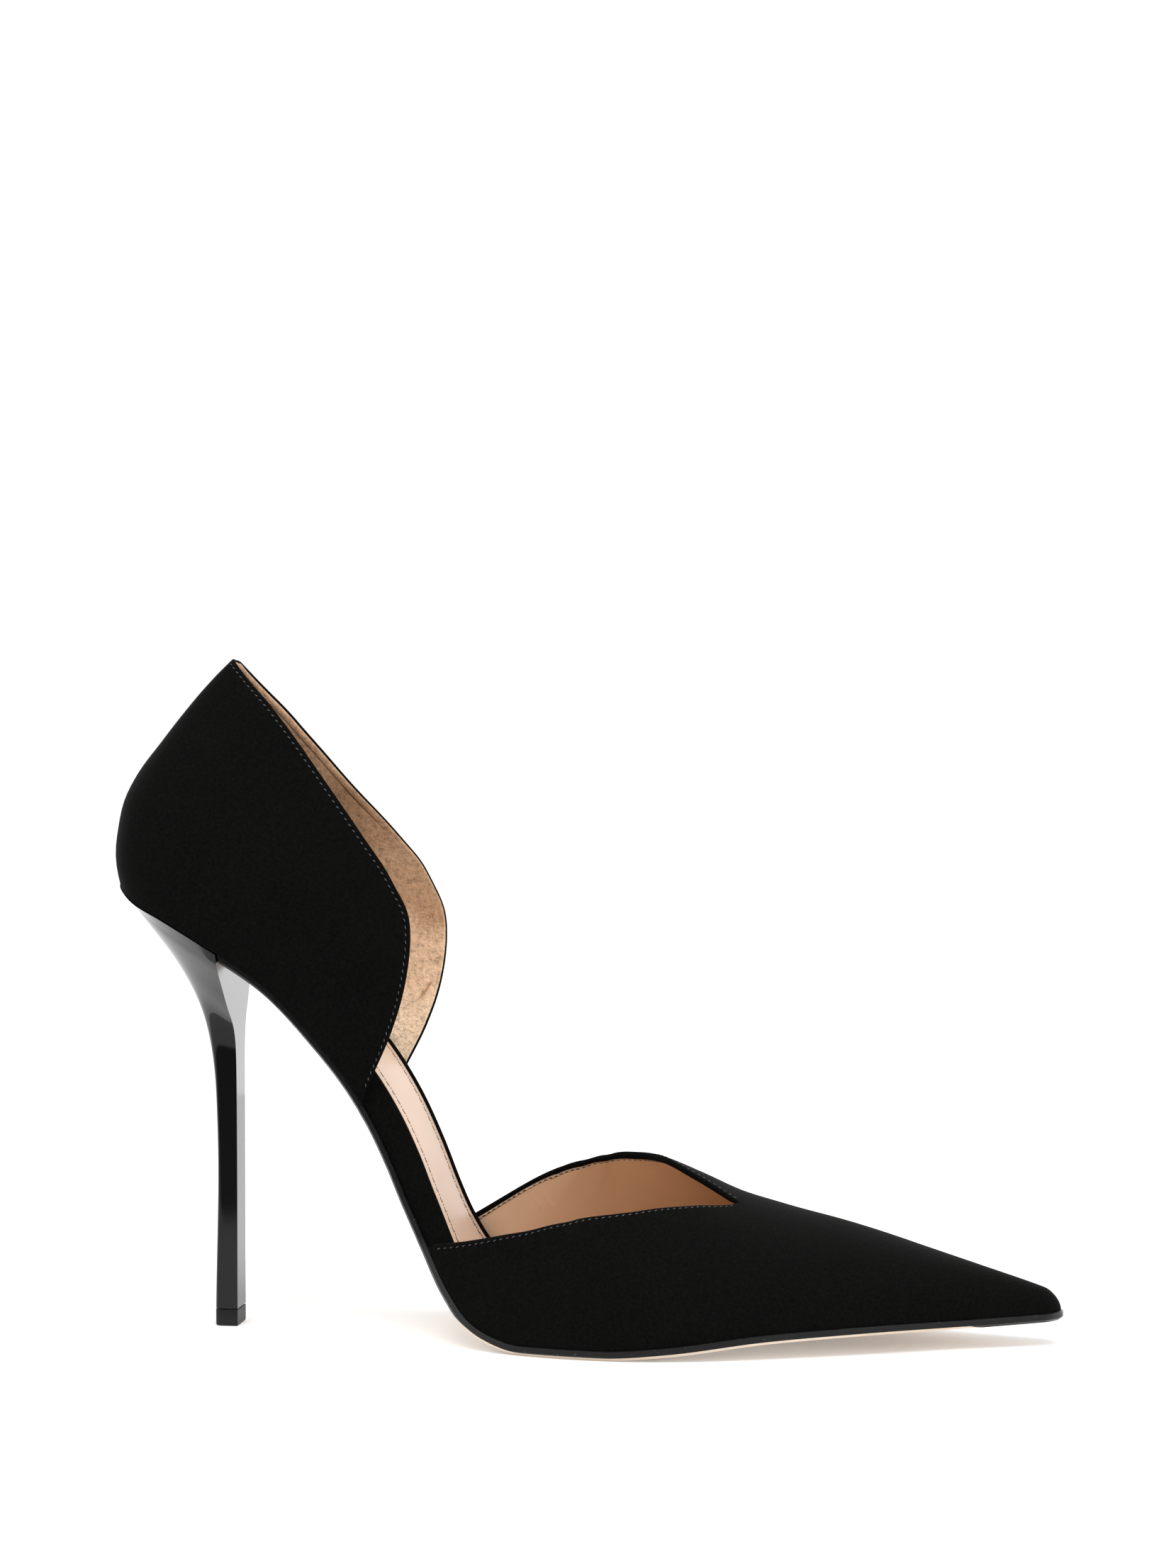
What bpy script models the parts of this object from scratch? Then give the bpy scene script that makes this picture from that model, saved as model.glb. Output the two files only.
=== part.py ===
"""A pointed two-piece pump on a high, square stiletto heel: one right shoe, built on one last.

The toe points along +X, the outer side of the foot is -Y, and the floor is z = 0 under the heel tip.
The last is its feather line, where upper meets sole, with a width at each place along it. A place
"along" is the share of the feather line's length, 0 at the back of the seat and 1 at the toe.
"""
import bmesh
import bpy
import numpy as np

# Sizes of the last, in metres
SHOE_REACH = 0.2275        # back of the seat to the toe tip, along the floor
HEEL_HEIGHT = 0.1081       # floor to the back of the seat
SEAT_SETBACK = 0.0260      # back of the seat behind the middle of the heel tip
TOE_SPRING = 0.0058        # lift of the toe above the tread
BALL_WIDTH = 0.0730
WAIST_WIDTH = 0.0360
SEAT_WIDTH = 0.0460
INSTEP_HEIGHT = 0.0460     # sole to the ridge of the last, at its highest over the wings
BACK_HEIGHT = 0.0539       # seat to the top of the counter
COLLAR_WIDTH = 0.0500      # across the quarter where it is widest at its topline

# Sizes of the pieces, in metres
UPPER_WALL = 0.0017
SOLE = 0.0024              # outsole at the tread
EDGE_STEP = 0.0004         # how far the sole's bevel stands in under its edge
BOARD = 0.0060             # insole board at the waist, where its side shows
BOARD_GAP = 0.0125         # the board stops this far short of the toe
SOCK = 0.0007
SOCK_MARGIN = 0.0010       # board left bare round the sock
SEAT_LENGTH = 0.0312       # back of the seat to the heel's breast, along the feather line
TIP_DEPTH = 0.0057         # heel tip, front to back
TIP_WIDTH = 0.0088
TOP_PIECE = 0.0040
CLEARANCE = 0.0003         # air kept between pieces that touch
WELD = 0.000002

# Places along the feather line
HEEL_ROUND = 0.100         # the round of the seat ends here
TOE_ROUND = 0.014          # length of the round at the toe tip
THROAT = 0.726             # the point of the V

SEAT_SQUARENESS = 2.2
THROAT_TURN = 0.82         # how far round its section the point of the V is
TOE_CAVITY = 3.2           # the hollow stops short of the toe tip by this many walls
SLOPE_STEP = 0.0005        # for slopes taken from a curve


def table(names, *rows):
    """A short table with a name for each column."""
    return dict(zip(names.split(), np.array(rows, dtype=float).T))


# The feather line: how far forward, how much of the heel's rise is left, how much toe spring is in
FEATHER = table(
    "along  forward  rise    spring",
    (0.000, 0.0000, 1.0000, 0.000),
    (0.024, 0.0262, 0.9620, 0.000),
    (0.054, 0.0604, 0.9287, 0.000),
    (0.111, 0.1221, 0.8519, 0.000),
    (0.171, 0.1781, 0.7633, 0.000),
    (0.222, 0.2214, 0.6648, 0.000),
    (0.270, 0.2578, 0.5663, 0.000),
    (0.312, 0.2840, 0.4737, 0.000),
    (0.353, 0.3055, 0.3772, 0.000),
    (0.392, 0.3243, 0.2817, 0.000),
    (0.431, 0.3453, 0.1881, 0.000),
    (0.469, 0.3698, 0.1014, 0.000),
    (0.496, 0.3925, 0.0453, 0.000),
    (0.532, 0.4325, 0.0059, 0.000),
    (0.580, 0.4905, 0.0000, 0.000),
    (0.625, 0.5444, 0.0000, 0.000),
    (0.676, 0.6055, 0.0000, 0.190),
    (0.753, 0.6980, 0.0000, 0.610),
    (0.836, 0.7987, 0.0000, 0.790),
    (0.938, 0.9212, 0.0000, 0.870),
    (1.000, 1.0000, 0.0000, 1.000),
)

# Half widths of the last at the feather line, before its two ends are rounded
OUTLINE = table(
    "along  outer               inner",
    (0.000, 0.500 * SEAT_WIDTH, 0.500 * SEAT_WIDTH),
    (0.100, 0.500 * SEAT_WIDTH, 0.500 * SEAT_WIDTH),
    (0.171, 0.435 * SEAT_WIDTH, 0.435 * SEAT_WIDTH),
    (0.230, 0.545 * WAIST_WIDTH, 0.530 * WAIST_WIDTH),
    (0.300, 0.510 * WAIST_WIDTH, 0.500 * WAIST_WIDTH),
    (0.370, 0.500 * WAIST_WIDTH, 0.490 * WAIST_WIDTH),
    (0.431, 0.260 * BALL_WIDTH, 0.260 * BALL_WIDTH),
    (0.469, 0.322 * BALL_WIDTH, 0.330 * BALL_WIDTH),
    (0.515, 0.405 * BALL_WIDTH, 0.420 * BALL_WIDTH),
    (0.596, 0.493 * BALL_WIDTH, 0.493 * BALL_WIDTH),
    (0.651, 0.507 * BALL_WIDTH, 0.500 * BALL_WIDTH),
    (0.700, 0.486 * BALL_WIDTH, 0.500 * BALL_WIDTH),
    (0.753, 0.431 * BALL_WIDTH, 0.445 * BALL_WIDTH),
    (0.836, 0.308 * BALL_WIDTH, 0.308 * BALL_WIDTH),
    (0.938, 0.137 * BALL_WIDTH, 0.116 * BALL_WIDTH),
    (1.000, 0.052 * BALL_WIDTH, 0.045 * BALL_WIDTH),
)

# Sections over the forefoot: forward lean in degrees, height of the ridge, the ridge's shift to
# the inner side, and how square the section's shoulders are
VAMP = table(
    "along  lean  height             ridge              squareness",
    (0.431, 50, 0.950 * INSTEP_HEIGHT, 0.03 * BALL_WIDTH, 2.2),
    (0.469, 42, 0.980 * INSTEP_HEIGHT, 0.04 * BALL_WIDTH, 2.2),
    (0.532, 25, 1.000 * INSTEP_HEIGHT, 0.05 * BALL_WIDTH, 2.1),
    (0.596, 12, 0.930 * INSTEP_HEIGHT, 0.06 * BALL_WIDTH, 2.0),
    (0.651, 4, 0.843 * INSTEP_HEIGHT, 0.06 * BALL_WIDTH, 1.9),
    (0.688, 1, 0.750 * INSTEP_HEIGHT, 0.06 * BALL_WIDTH, 1.8),
    (0.726, 0, 0.630 * INSTEP_HEIGHT, 0.06 * BALL_WIDTH, 1.8),
    (0.763, 0, 0.546 * INSTEP_HEIGHT, 0.06 * BALL_WIDTH, 1.8),
    (0.819, 0, 0.450 * INSTEP_HEIGHT, 0.05 * BALL_WIDTH, 1.8),
    (0.875, 0, 0.345 * INSTEP_HEIGHT, 0.04 * BALL_WIDTH, 1.9),
    (0.931, 0, 0.240 * INSTEP_HEIGHT, 0.02 * BALL_WIDTH, 2.0),
    (0.969, 0, 0.158 * INSTEP_HEIGHT, 0.01 * BALL_WIDTH, 2.1),
    (1.000, 0, 0.084 * INSTEP_HEIGHT, 0.00 * BALL_WIDTH, 2.2),
)

# The vamp's topline: how far round each section its two edges come, 0 at the outer feather line,
# 1 at the ridge and 2 at the inner feather line
THROAT_EDGE = table(
    "along  outer  inner",
    (0.431, 0.018, 1.984),
    (0.450, 0.128, 1.627),
    (0.469, 0.242, 1.458),
    (0.500, 0.378, 1.318),
    (0.532, 0.443, 1.275),
    (0.565, 0.478, 1.246),
    (0.596, 0.510, 1.206),
    (0.625, 0.548, 1.120),
    (0.651, 0.593, 0.995),
    (0.670, 0.633, 0.945),
    (0.688, 0.675, 0.910),
    (0.712, 0.753, 0.858),
    (THROAT, THROAT_TURN, THROAT_TURN),
)

# The quarter from the back seam to its corners: its foot on the feather line, its topline ahead of
# and above that foot, the topline's half width, its share of the counter's swell, and how much lower
# the inner side is cut. The first row is the third one mirrored, which keeps the back seam smooth.
QUARTER = table(
    "place  along   ahead                up                   width                  swell  drop",
    (-0.10, 0.0145, 0.470 * BACK_HEIGHT, 1.043 * BACK_HEIGHT, -0.120 * COLLAR_WIDTH, 0.93, 0.026),
    (0.00, 0.0000, 0.520 * BACK_HEIGHT, 1.000 * BACK_HEIGHT, 0.000 * COLLAR_WIDTH, 1.00, 0.000),
    (0.10, 0.0145, 0.470 * BACK_HEIGHT, 1.043 * BACK_HEIGHT, 0.120 * COLLAR_WIDTH, 0.93, 0.026),
    (0.20, 0.0330, 0.496 * BACK_HEIGHT, 0.979 * BACK_HEIGHT, 0.220 * COLLAR_WIDTH, 0.72, 0.050),
    (0.35, 0.0700, 0.470 * BACK_HEIGHT, 0.905 * BACK_HEIGHT, 0.310 * COLLAR_WIDTH, 0.38, 0.083),
    (0.50, 0.1200, 0.442 * BACK_HEIGHT, 0.794 * BACK_HEIGHT, 0.390 * COLLAR_WIDTH, 0.28, 0.084),
    (0.65, 0.1700, 0.446 * BACK_HEIGHT, 0.675 * BACK_HEIGHT, 0.460 * COLLAR_WIDTH, 0.22, 0.045),
    (0.78, 0.2150, 0.417 * BACK_HEIGHT, 0.649 * BACK_HEIGHT, 0.500 * COLLAR_WIDTH, 0.19, 0.045),
    (0.87, 0.2500, 0.378 * BACK_HEIGHT, 0.580 * BACK_HEIGHT, 0.505 * COLLAR_WIDTH, 0.15, 0.105),
    (0.94, 0.2750, 0.240 * BACK_HEIGHT, 0.328 * BACK_HEIGHT, 0.460 * COLLAR_WIDTH, 0.10, 0.140),
    (1.00, 0.2950, 0.032 * BACK_HEIGHT, 0.070 * BACK_HEIGHT, 0.380 * COLLAR_WIDTH, 0.00, 0.140),
)

# How far the counter swells out of the straight line from seat to top, by height up that line
COUNTER = table(
    "height  swell",
    (0.000, 0.000 * BACK_HEIGHT),
    (0.065, 0.049 * BACK_HEIGHT),
    (0.130, 0.089 * BACK_HEIGHT),
    (0.250, 0.139 * BACK_HEIGHT),
    (0.380, 0.175 * BACK_HEIGHT),
    (0.500, 0.173 * BACK_HEIGHT),
    (0.630, 0.141 * BACK_HEIGHT),
    (0.750, 0.108 * BACK_HEIGHT),
    (0.880, 0.062 * BACK_HEIGHT),
    (0.940, 0.034 * BACK_HEIGHT),
    (1.000, 0.000 * BACK_HEIGHT),
)

# The heel from seat to tip: share of its drop, then shares of the seat's slant, of its reach back
# and forward and of its width beyond the tip's, and how square the section is
HEEL = table(
    "drop    slant  back   front  width  squareness",
    (0.0000, 1.000, 1.000, 1.00, 1.000, 2.2),
    (0.0722, 0.852, 0.773, 1.14, 0.775, 2.2),
    (0.1214, 0.702, 0.597, 1.10, 0.610, 2.3),
    (0.1666, 0.616, 0.438, 0.90, 0.470, 2.4),
    (0.2033, 0.562, 0.339, 0.65, 0.362, 2.6),
    (0.2630, 0.335, 0.202, 0.45, 0.195, 3.0),
    (0.3140, 0.172, 0.116, 0.17, 0.094, 3.5),
    (0.3603, 0.082, 0.065, 0.10, 0.030, 4.5),
    (0.4258, 0.027, 0.015, 0.03, 0.010, 6.0),
    (0.5597, 0.000, -0.020, 0.00, 0.000, 8.0),
    (1.0000, 0.000, 0.000, 0.00, 0.000, 8.0),
)

# Thickness of sole and board along the shoe, and how far the sole stands in from the outline
LAYERS = table(
    "along  sole         board         inset",
    (0.000, 0.78 * SOLE, 0.50 * BOARD, 3.0 * EDGE_STEP),
    (0.120, 0.78 * SOLE, 0.60 * BOARD, 3.0 * EDGE_STEP),
    (0.250, 0.80 * SOLE, 1.00 * BOARD, 3.0 * EDGE_STEP),
    (0.400, 0.82 * SOLE, 1.00 * BOARD, 2.5 * EDGE_STEP),
    (0.470, 0.88 * SOLE, 0.80 * BOARD, 0.5 * EDGE_STEP),
    (0.560, 1.00 * SOLE, 0.45 * BOARD, -1.0 * EDGE_STEP),
    (0.700, 1.00 * SOLE, 0.42 * BOARD, -1.0 * EDGE_STEP),
    (0.900, 0.95 * SOLE, 0.30 * BOARD, -1.0 * EDGE_STEP),
    (1.000, 0.90 * SOLE, 0.25 * BOARD, -1.0 * EDGE_STEP),
)

# The sole's edge from its top down: how far in it steps and how far down it has come
SOLE_EDGE = table(
    "inset            down",
    (0.0 * EDGE_STEP, 0.12),
    (0.0 * EDGE_STEP, 0.66),
    (1.0 * EDGE_STEP, 0.66),
    (2.2 * EDGE_STEP, 1.00),
)


def through(sections, column, at):
    """Read a column of a table at any place, on a smooth curve through its rows."""
    places = sections[next(iter(sections))]
    values = sections[column]
    slopes = np.gradient(values, places)
    row = np.clip(np.searchsorted(places, at) - 1, 0, len(places) - 2)
    span = places[row + 1] - places[row]
    t = np.clip((at - places[row]) / span, 0, 1)
    low = values[row] * (1 + 2 * t) + slopes[row] * span * t
    high = values[row + 1] * (3 - 2 * t) - slopes[row + 1] * span * (1 - t)
    return low * (1 - t) ** 2 + high * t ** 2


def feather(along):
    """The feather line seen from the side: x and z."""
    x = SHOE_REACH * through(FEATHER, "forward", along) - SEAT_SETBACK
    rise = np.clip(through(FEATHER, "rise", along), 0, 1)
    spring = np.clip(through(FEATHER, "spring", along), 0, 1)
    return x, SOLE + rise * (HEEL_HEIGHT - SOLE) + spring * TOE_SPRING


def feather_length():
    x, z = feather(np.linspace(0, 1, 400))
    return np.hypot(np.diff(x), np.diff(z)).sum()


FEATHER_LENGTH = feather_length()
BREAST = SEAT_LENGTH / FEATHER_LENGTH
BOARD_END = 1 - BOARD_GAP / FEATHER_LENGTH


def lifted(along, lift):
    """A place on the feather line, or straight on past its ends, raised square to it."""
    at = np.clip(along, 0, 1)
    x, z = feather(at)
    ahead_x, ahead_z = feather(np.clip(at + SLOPE_STEP, 0, 1))
    behind_x, behind_z = feather(np.clip(at - SLOPE_STEP, 0, 1))
    run = np.hypot(ahead_x - behind_x, ahead_z - behind_z)
    forward, up = (ahead_x - behind_x) / run, (ahead_z - behind_z) / run
    past = (along - at) * FEATHER_LENGTH
    return x + past * forward - lift * up, z + past * up + lift * forward


def toe_round(along):
    """1 along the shoe, falling to 0 at the toe tip as a quarter of a circle does."""
    return np.sqrt(1 - np.clip(1 - (1 - along) / TOE_ROUND, 0, 1) ** 2)


def half_width(along, side):
    """Half the last's width at the feather line on the outer or inner side."""
    back = np.clip(1 - along / HEEL_ROUND, 0, 1)
    heel_round = (1 - back ** SEAT_SQUARENESS) ** (1 / SEAT_SQUARENESS)
    return through(OUTLINE, side, along) * heel_round * toe_round(along)


def inward(along, side):
    """The direction square to the outline and into the shoe: its shares forward and across."""
    ahead = half_width(np.clip(along + SLOPE_STEP, 0, 1), side)
    behind = half_width(np.clip(along - SLOPE_STEP, 0, 1), side)
    slope = (ahead - behind) / (2 * SLOPE_STEP * FEATHER_LENGTH)
    across = 1 / np.hypot(1, slope)
    at_end = (along <= 0) | (along >= 1)
    forward = np.where(at_end, np.sign(0.5 - along), slope * across)
    return forward, np.where(at_end, 0, across)


def rim(along, side, inset=0.0, lift=0.0):
    """Points of the outline, moved in square to it and raised square to the feather line."""
    forward, across = inward(along, side)
    x, z = lifted(along + inset * forward / FEATHER_LENGTH, lift)
    y = np.maximum(half_width(along, side) - inset * across, 0)
    return np.stack([x, -y if side == "outer" else y, z], axis=-1)


def ring(places, inset, lift):
    """One turn round the outline: forward on the outer side and back on the inner one."""
    return np.vstack([rim(places, "outer", inset, lift), rim(places, "inner", inset, lift)[::-1]])


def rounded(squareness, count):
    """A quarter turn from the middle of an end to a side: shares along and across."""
    turn = np.linspace(0, np.pi / 2, count)
    along = 1 - np.clip(np.cos(turn), 0, 1) ** (2 / squareness)
    return along, np.sin(turn) ** (2 / squareness)


def shoe_places(start, end, count):
    """Places from start to end, closer together round the back of the seat and the toe."""
    seat = HEEL_ROUND * rounded(SEAT_SQUARENESS, 12)[0]
    toe = 1 - TOE_ROUND * rounded(2, 6)[0][::-1]
    places = np.concatenate([seat, np.linspace(HEEL_ROUND, 1 - TOE_ROUND, count)[1:-1], toe])
    inside = places[(places > start + SLOPE_STEP) & (places < end - SLOPE_STEP)]
    return np.concatenate([[start], inside, [end]])


def stack(rings):
    """A closed solid from equal rings one on another, with a ladder across each end."""
    size = len(rings[0])
    top = (len(rings) - 1) * size
    faces = []
    for low in range(0, top, size):
        for i in range(size):
            j = (i + 1) % size
            faces.append((low + i, low + j, low + size + j, low + size + i))
    for i in range(size // 2 - 1):
        rung = (i, size - 1 - i, size - 2 - i, i + 1)
        faces.append(rung)
        faces.append(tuple(top + v for v in reversed(rung)))
    return np.vstack(rings), faces


def shell(outer, inner, faces):
    """A closed wall between two matching skins, with a rim along their free edges."""
    count = len(outer)
    edges = {(a, b) for face in faces for a, b in zip(face, face[1:] + face[:1])}
    free = sorted((a, b) for a, b in edges if (b, a) not in edges)
    back = [tuple(v + count for v in reversed(face)) for face in faces]
    walls = [(b, a, a + count, b + count) for a, b in free]
    return np.vstack([outer, inner]), faces + back + walls


def grid_faces(rows, columns, gap=None):
    """Quads of a grid of points, without the strip that follows the column named gap."""
    faces = []
    for i in range(rows - 1):
        for j in range(columns - 1):
            if j != gap:
                a = i * columns + j
                faces.append((a, a + 1, a + columns + 1, a + columns))
    return faces


def vamp_point(along, turn, wall):
    """A point over the forefoot, on the outer skin or a wall's thickness inside it."""
    x, z = feather(along)
    height = np.maximum(through(VAMP, "height", along) * toe_round(along) - wall, 0)
    ridge = through(VAMP, "ridge", along) * toe_round(along)
    outer = np.maximum(half_width(along, "outer") - wall, 0)
    inner = np.maximum(half_width(along, "inner") - wall, 0)
    angle = np.pi / 2 * np.minimum(turn, 2 - turn)
    power = 2 / through(VAMP, "squareness", along)
    across = np.clip(np.cos(angle), 0, 1) ** power
    up = height * np.clip(np.sin(angle), 0, 1) ** power
    lean = np.radians(through(VAMP, "lean", along))
    y = ridge + np.where(turn < 1, -outer - ridge, inner - ridge) * across
    return np.stack([x + up * np.sin(lean), y, z + up * np.cos(lean)], axis=-1)


def upper_vamp():
    """The forefoot: two wings that join at the point of the V, then a dome closed to the toe."""
    half = 10
    start = VAMP["along"][0]
    wings = start + (THROAT - start) * np.linspace(0, 1, 21) ** 1.2
    dome = np.linspace(THROAT, 1 - TOE_ROUND, 15)
    toe = 1 - TOE_ROUND * rounded(2, 6)[0][::-1]
    places = np.concatenate([wings, dome[1:-1], toe])
    share = np.linspace(0, 1, half)
    held_back = np.clip((places - THROAT) / (1 - THROAT), 0, 1) ** 2 * TOE_CAVITY * UPPER_WALL
    skins = []
    for wall in (0, UPPER_WALL):
        at = places - (held_back / FEATHER_LENGTH if wall else 0)
        outer_edge = through(THROAT_EDGE, "outer", at)[:, None]
        inner_edge = through(THROAT_EDGE, "inner", at)[:, None]
        outer = vamp_point(at[:, None], outer_edge * share, wall)
        inner = vamp_point(at[:, None], inner_edge + (2 - inner_edge) * share, wall)
        skins.append(np.concatenate([outer, inner], axis=1).reshape(-1, 3))
    faces = grid_faces(len(places), 2 * half, gap=half - 1)
    joined = {i * 2 * half + half: i * 2 * half + half - 1 for i in range(len(wings) - 1, len(places))}
    faces = [tuple(joined.get(v, v) for v in face) for face in faces]
    return shell(skins[0], skins[1], faces)


def quarter_point(place, up):
    """A point on the quarter: place -1 to 1 round the back, up 0 at its foot and 1 at its topline."""
    away = np.abs(place)
    side = np.where(place < 0, -1, 1)
    along = np.maximum(through(QUARTER, "along", away), 0)
    x, z = feather(along)
    width = np.where(place < 0, half_width(along, "outer"), half_width(along, "inner"))
    forward, across = inward(along, "outer")
    swell = through(QUARTER, "swell", away) * through(COUNTER, "swell", up)
    top_width = through(QUARTER, "width", away)
    cut = np.where(place < 0, 1, 1 - through(QUARTER, "drop", away))
    x = x + up * through(QUARTER, "ahead", away) - swell * forward
    y = side * (width + up * (top_width - width) + swell * across)
    z = z + up * cut * through(QUARTER, "up", away)
    return np.stack(np.broadcast_arrays(x, y, z), axis=-1)


def upper_quarter():
    """The heel cup: one wall from corner to corner round the back, open at the topline."""
    reach = np.sin(np.linspace(0, np.pi / 2, 22)) ** 1.2
    places = np.concatenate([-reach[:0:-1], reach])
    heights = np.linspace(0, 1, 12)
    outer = quarter_point(places[:, None], heights[None, :])
    around = np.gradient(outer, axis=0)
    upward = np.gradient(outer, axis=1)
    normal = np.cross(around, upward)
    normal /= np.linalg.norm(normal, axis=-1, keepdims=True)
    inner = outer + UPPER_WALL * normal
    along = np.maximum(through(QUARTER, "along", np.abs(places)), 0)
    foot_outer = rim(along, "outer", UPPER_WALL)
    foot_inner = rim(along, "inner", UPPER_WALL)
    inner[:, 0] = np.where(places[:, None] < 0, foot_outer, foot_inner)
    faces = grid_faces(len(places), len(heights))
    return shell(outer.reshape(-1, 3), inner.reshape(-1, 3), faces)


def sole_at(along):
    """The sole's thickness, never more than at the tread, so the tread stays flat."""
    return np.minimum(through(LAYERS, "sole", along), SOLE)


def outsole():
    """The sole from the heel's breast to the toe, its edge stepped above a bevel."""
    x, z = feather(np.array([BREAST, BREAST + SLOPE_STEP]))
    slant = (z[0] - z[1]) / (x[1] - x[0])
    even = shoe_places(BREAST, 1, 50)
    rings = []
    for step, down in zip(SOLE_EDGE["inset"], SOLE_EDGE["down"]):
        depth = down * sole_at(BREAST)
        start = BREAST + (2 * CLEARANCE + slant * depth) / FEATHER_LENGTH
        places = 1 - (1 - even) * (1 - start) / (1 - BREAST)
        lift = np.minimum(-down * sole_at(places), -CLEARANCE)
        rings.append(ring(places, through(LAYERS, "inset", places) + step, lift))
    return stack(rings)


def insole_board():
    """The board that holds the waist, hidden under the quarter and inside the vamp. Its side leans
    in as the upper's walls do."""
    places = shoe_places(0, BOARD_END, 44)
    inset = UPPER_WALL + CLEARANCE
    top = through(LAYERS, "board", places)
    round_edge = 0.12 * top
    rings = [ring(places, inset, 0 * top), ring(places, inset + CLEARANCE, top - round_edge)]
    rings.append(ring(places, inset + CLEARANCE + round_edge, top))
    return stack(rings)


def sock_lining():
    """The leather sock on the board."""
    places = shoe_places(0, BOARD_END - SOCK_MARGIN / FEATHER_LENGTH, 44)
    inset = UPPER_WALL + 2 * CLEARANCE + SOCK_MARGIN
    under = through(LAYERS, "board", places) + CLEARANCE
    return stack([ring(places, inset, under), ring(places, inset, under + SOCK)])


def heel_ring(drop, count):
    """A level of the heel: a round back and two sides that end at the flat breast."""
    breast_x, breast_z = lifted(BREAST, -CLEARANCE)
    bottom = TOP_PIECE + CLEARANCE
    reach = 0.5 * TIP_DEPTH
    back_x = -reach - through(HEEL, "back", drop) * (SEAT_SETBACK - reach)
    front_x = reach + through(HEEL, "front", drop) * (breast_x - reach)
    back_z = HEEL_HEIGHT - drop * (HEEL_HEIGHT - bottom)
    front_z = back_z - through(HEEL, "slant", drop) * (HEEL_HEIGHT - breast_z)
    width = 0.5 * TIP_WIDTH + 0.5 * through(HEEL, "width", drop) * (SEAT_WIDTH - TIP_WIDTH)
    along, across = rounded(through(HEEL, "squareness", drop), count)
    x = back_x + along * (front_x - back_x)
    z = back_z + along * (front_z - back_z)
    outer = np.stack([x, -width * across, z], axis=-1)
    inner = np.stack([x, width * across, z], axis=-1)
    return np.vstack([outer, inner[::-1]])


def heel():
    """The stiletto: its seat follows the outline, and it narrows to the tip."""
    count = 10
    seat = np.append(HEEL_ROUND * rounded(SEAT_SQUARENESS, count)[0][:-1], BREAST)
    drops = np.concatenate([np.linspace(0.03, 0.36, 14), [0.41, 0.47, 0.55, 0.70, 1.0]])
    return stack([ring(seat, 0, -CLEARANCE)] + [heel_ring(drop, count) for drop in drops])


def top_piece():
    """The wearing block under the heel tip."""
    tip = heel_ring(1.0, 10)
    rings = []
    for z in (0, TOP_PIECE):
        level = tip.copy()
        level[:, 2] = z
        rings.append(level)
    return stack(rings)


def finish(name, colour, roughness):
    """A material of one colour."""
    material = bpy.data.materials.new(name)
    material.use_nodes = True
    shader = material.node_tree.nodes["Principled BSDF"]
    shader.inputs["Base Color"].default_value = (*colour, 1)
    shader.inputs["Roughness"].default_value = roughness
    shader.inputs["Metallic"].default_value = 0
    return material


def add_piece(name, solid, material):
    """Turn points and faces into a smooth, closed object."""
    points, faces = solid
    work = bmesh.new()
    corners = [work.verts.new(point) for point in points]
    for face in faces:
        work.faces.new([corners[v] for v in face])
    bmesh.ops.delete(work, geom=[v for v in work.verts if not v.link_faces], context="VERTS")
    bmesh.ops.remove_doubles(work, verts=work.verts, dist=WELD)
    bmesh.ops.dissolve_degenerate(work, edges=work.edges, dist=WELD)
    bmesh.ops.recalc_face_normals(work, faces=work.faces)
    mesh = bpy.data.meshes.new(name)
    work.to_mesh(mesh)
    work.free()
    mesh.materials.append(material)
    mesh.shade_smooth()
    mesh.set_sharp_from_angle(angle=np.radians(40))
    piece = bpy.data.objects.new(name, mesh)
    bpy.context.scene.collection.objects.link(piece)
    return piece


def build():
    for item in list(bpy.data.objects):
        bpy.data.objects.remove(item)
    suede = finish("black_suede", (0.012, 0.012, 0.013), 0.95)
    sock = finish("sock_leather", (0.72, 0.50, 0.40), 0.55)
    sole = finish("sole_leather", (0.60, 0.42, 0.28), 0.50)
    lacquer = finish("heel_lacquer", (0.010, 0.010, 0.011), 0.12)
    rubber = finish("tip_rubber", (0.015, 0.015, 0.015), 0.60)
    add_piece("upper_vamp", upper_vamp(), suede)
    add_piece("upper_quarter", upper_quarter(), suede)
    add_piece("insole_board", insole_board(), suede)
    add_piece("sock_lining", sock_lining(), sock)
    add_piece("outsole", outsole(), sole)
    add_piece("heel", heel(), lacquer)
    add_piece("top_piece", top_piece(), rubber)


build()
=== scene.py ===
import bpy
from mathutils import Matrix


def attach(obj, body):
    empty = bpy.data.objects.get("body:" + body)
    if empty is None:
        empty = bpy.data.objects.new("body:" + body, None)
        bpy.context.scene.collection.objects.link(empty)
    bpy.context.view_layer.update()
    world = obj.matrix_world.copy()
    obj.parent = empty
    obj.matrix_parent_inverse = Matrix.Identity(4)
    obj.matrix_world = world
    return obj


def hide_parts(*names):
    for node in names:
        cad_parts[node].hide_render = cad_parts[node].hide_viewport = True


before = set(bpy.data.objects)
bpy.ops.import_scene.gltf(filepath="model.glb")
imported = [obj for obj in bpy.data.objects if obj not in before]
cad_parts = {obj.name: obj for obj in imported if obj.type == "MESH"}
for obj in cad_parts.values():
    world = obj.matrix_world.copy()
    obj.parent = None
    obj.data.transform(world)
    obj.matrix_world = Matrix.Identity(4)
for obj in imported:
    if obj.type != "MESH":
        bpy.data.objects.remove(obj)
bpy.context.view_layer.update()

import math

import bmesh
import bpy
import numpy as np
from mathutils import Vector

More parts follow.
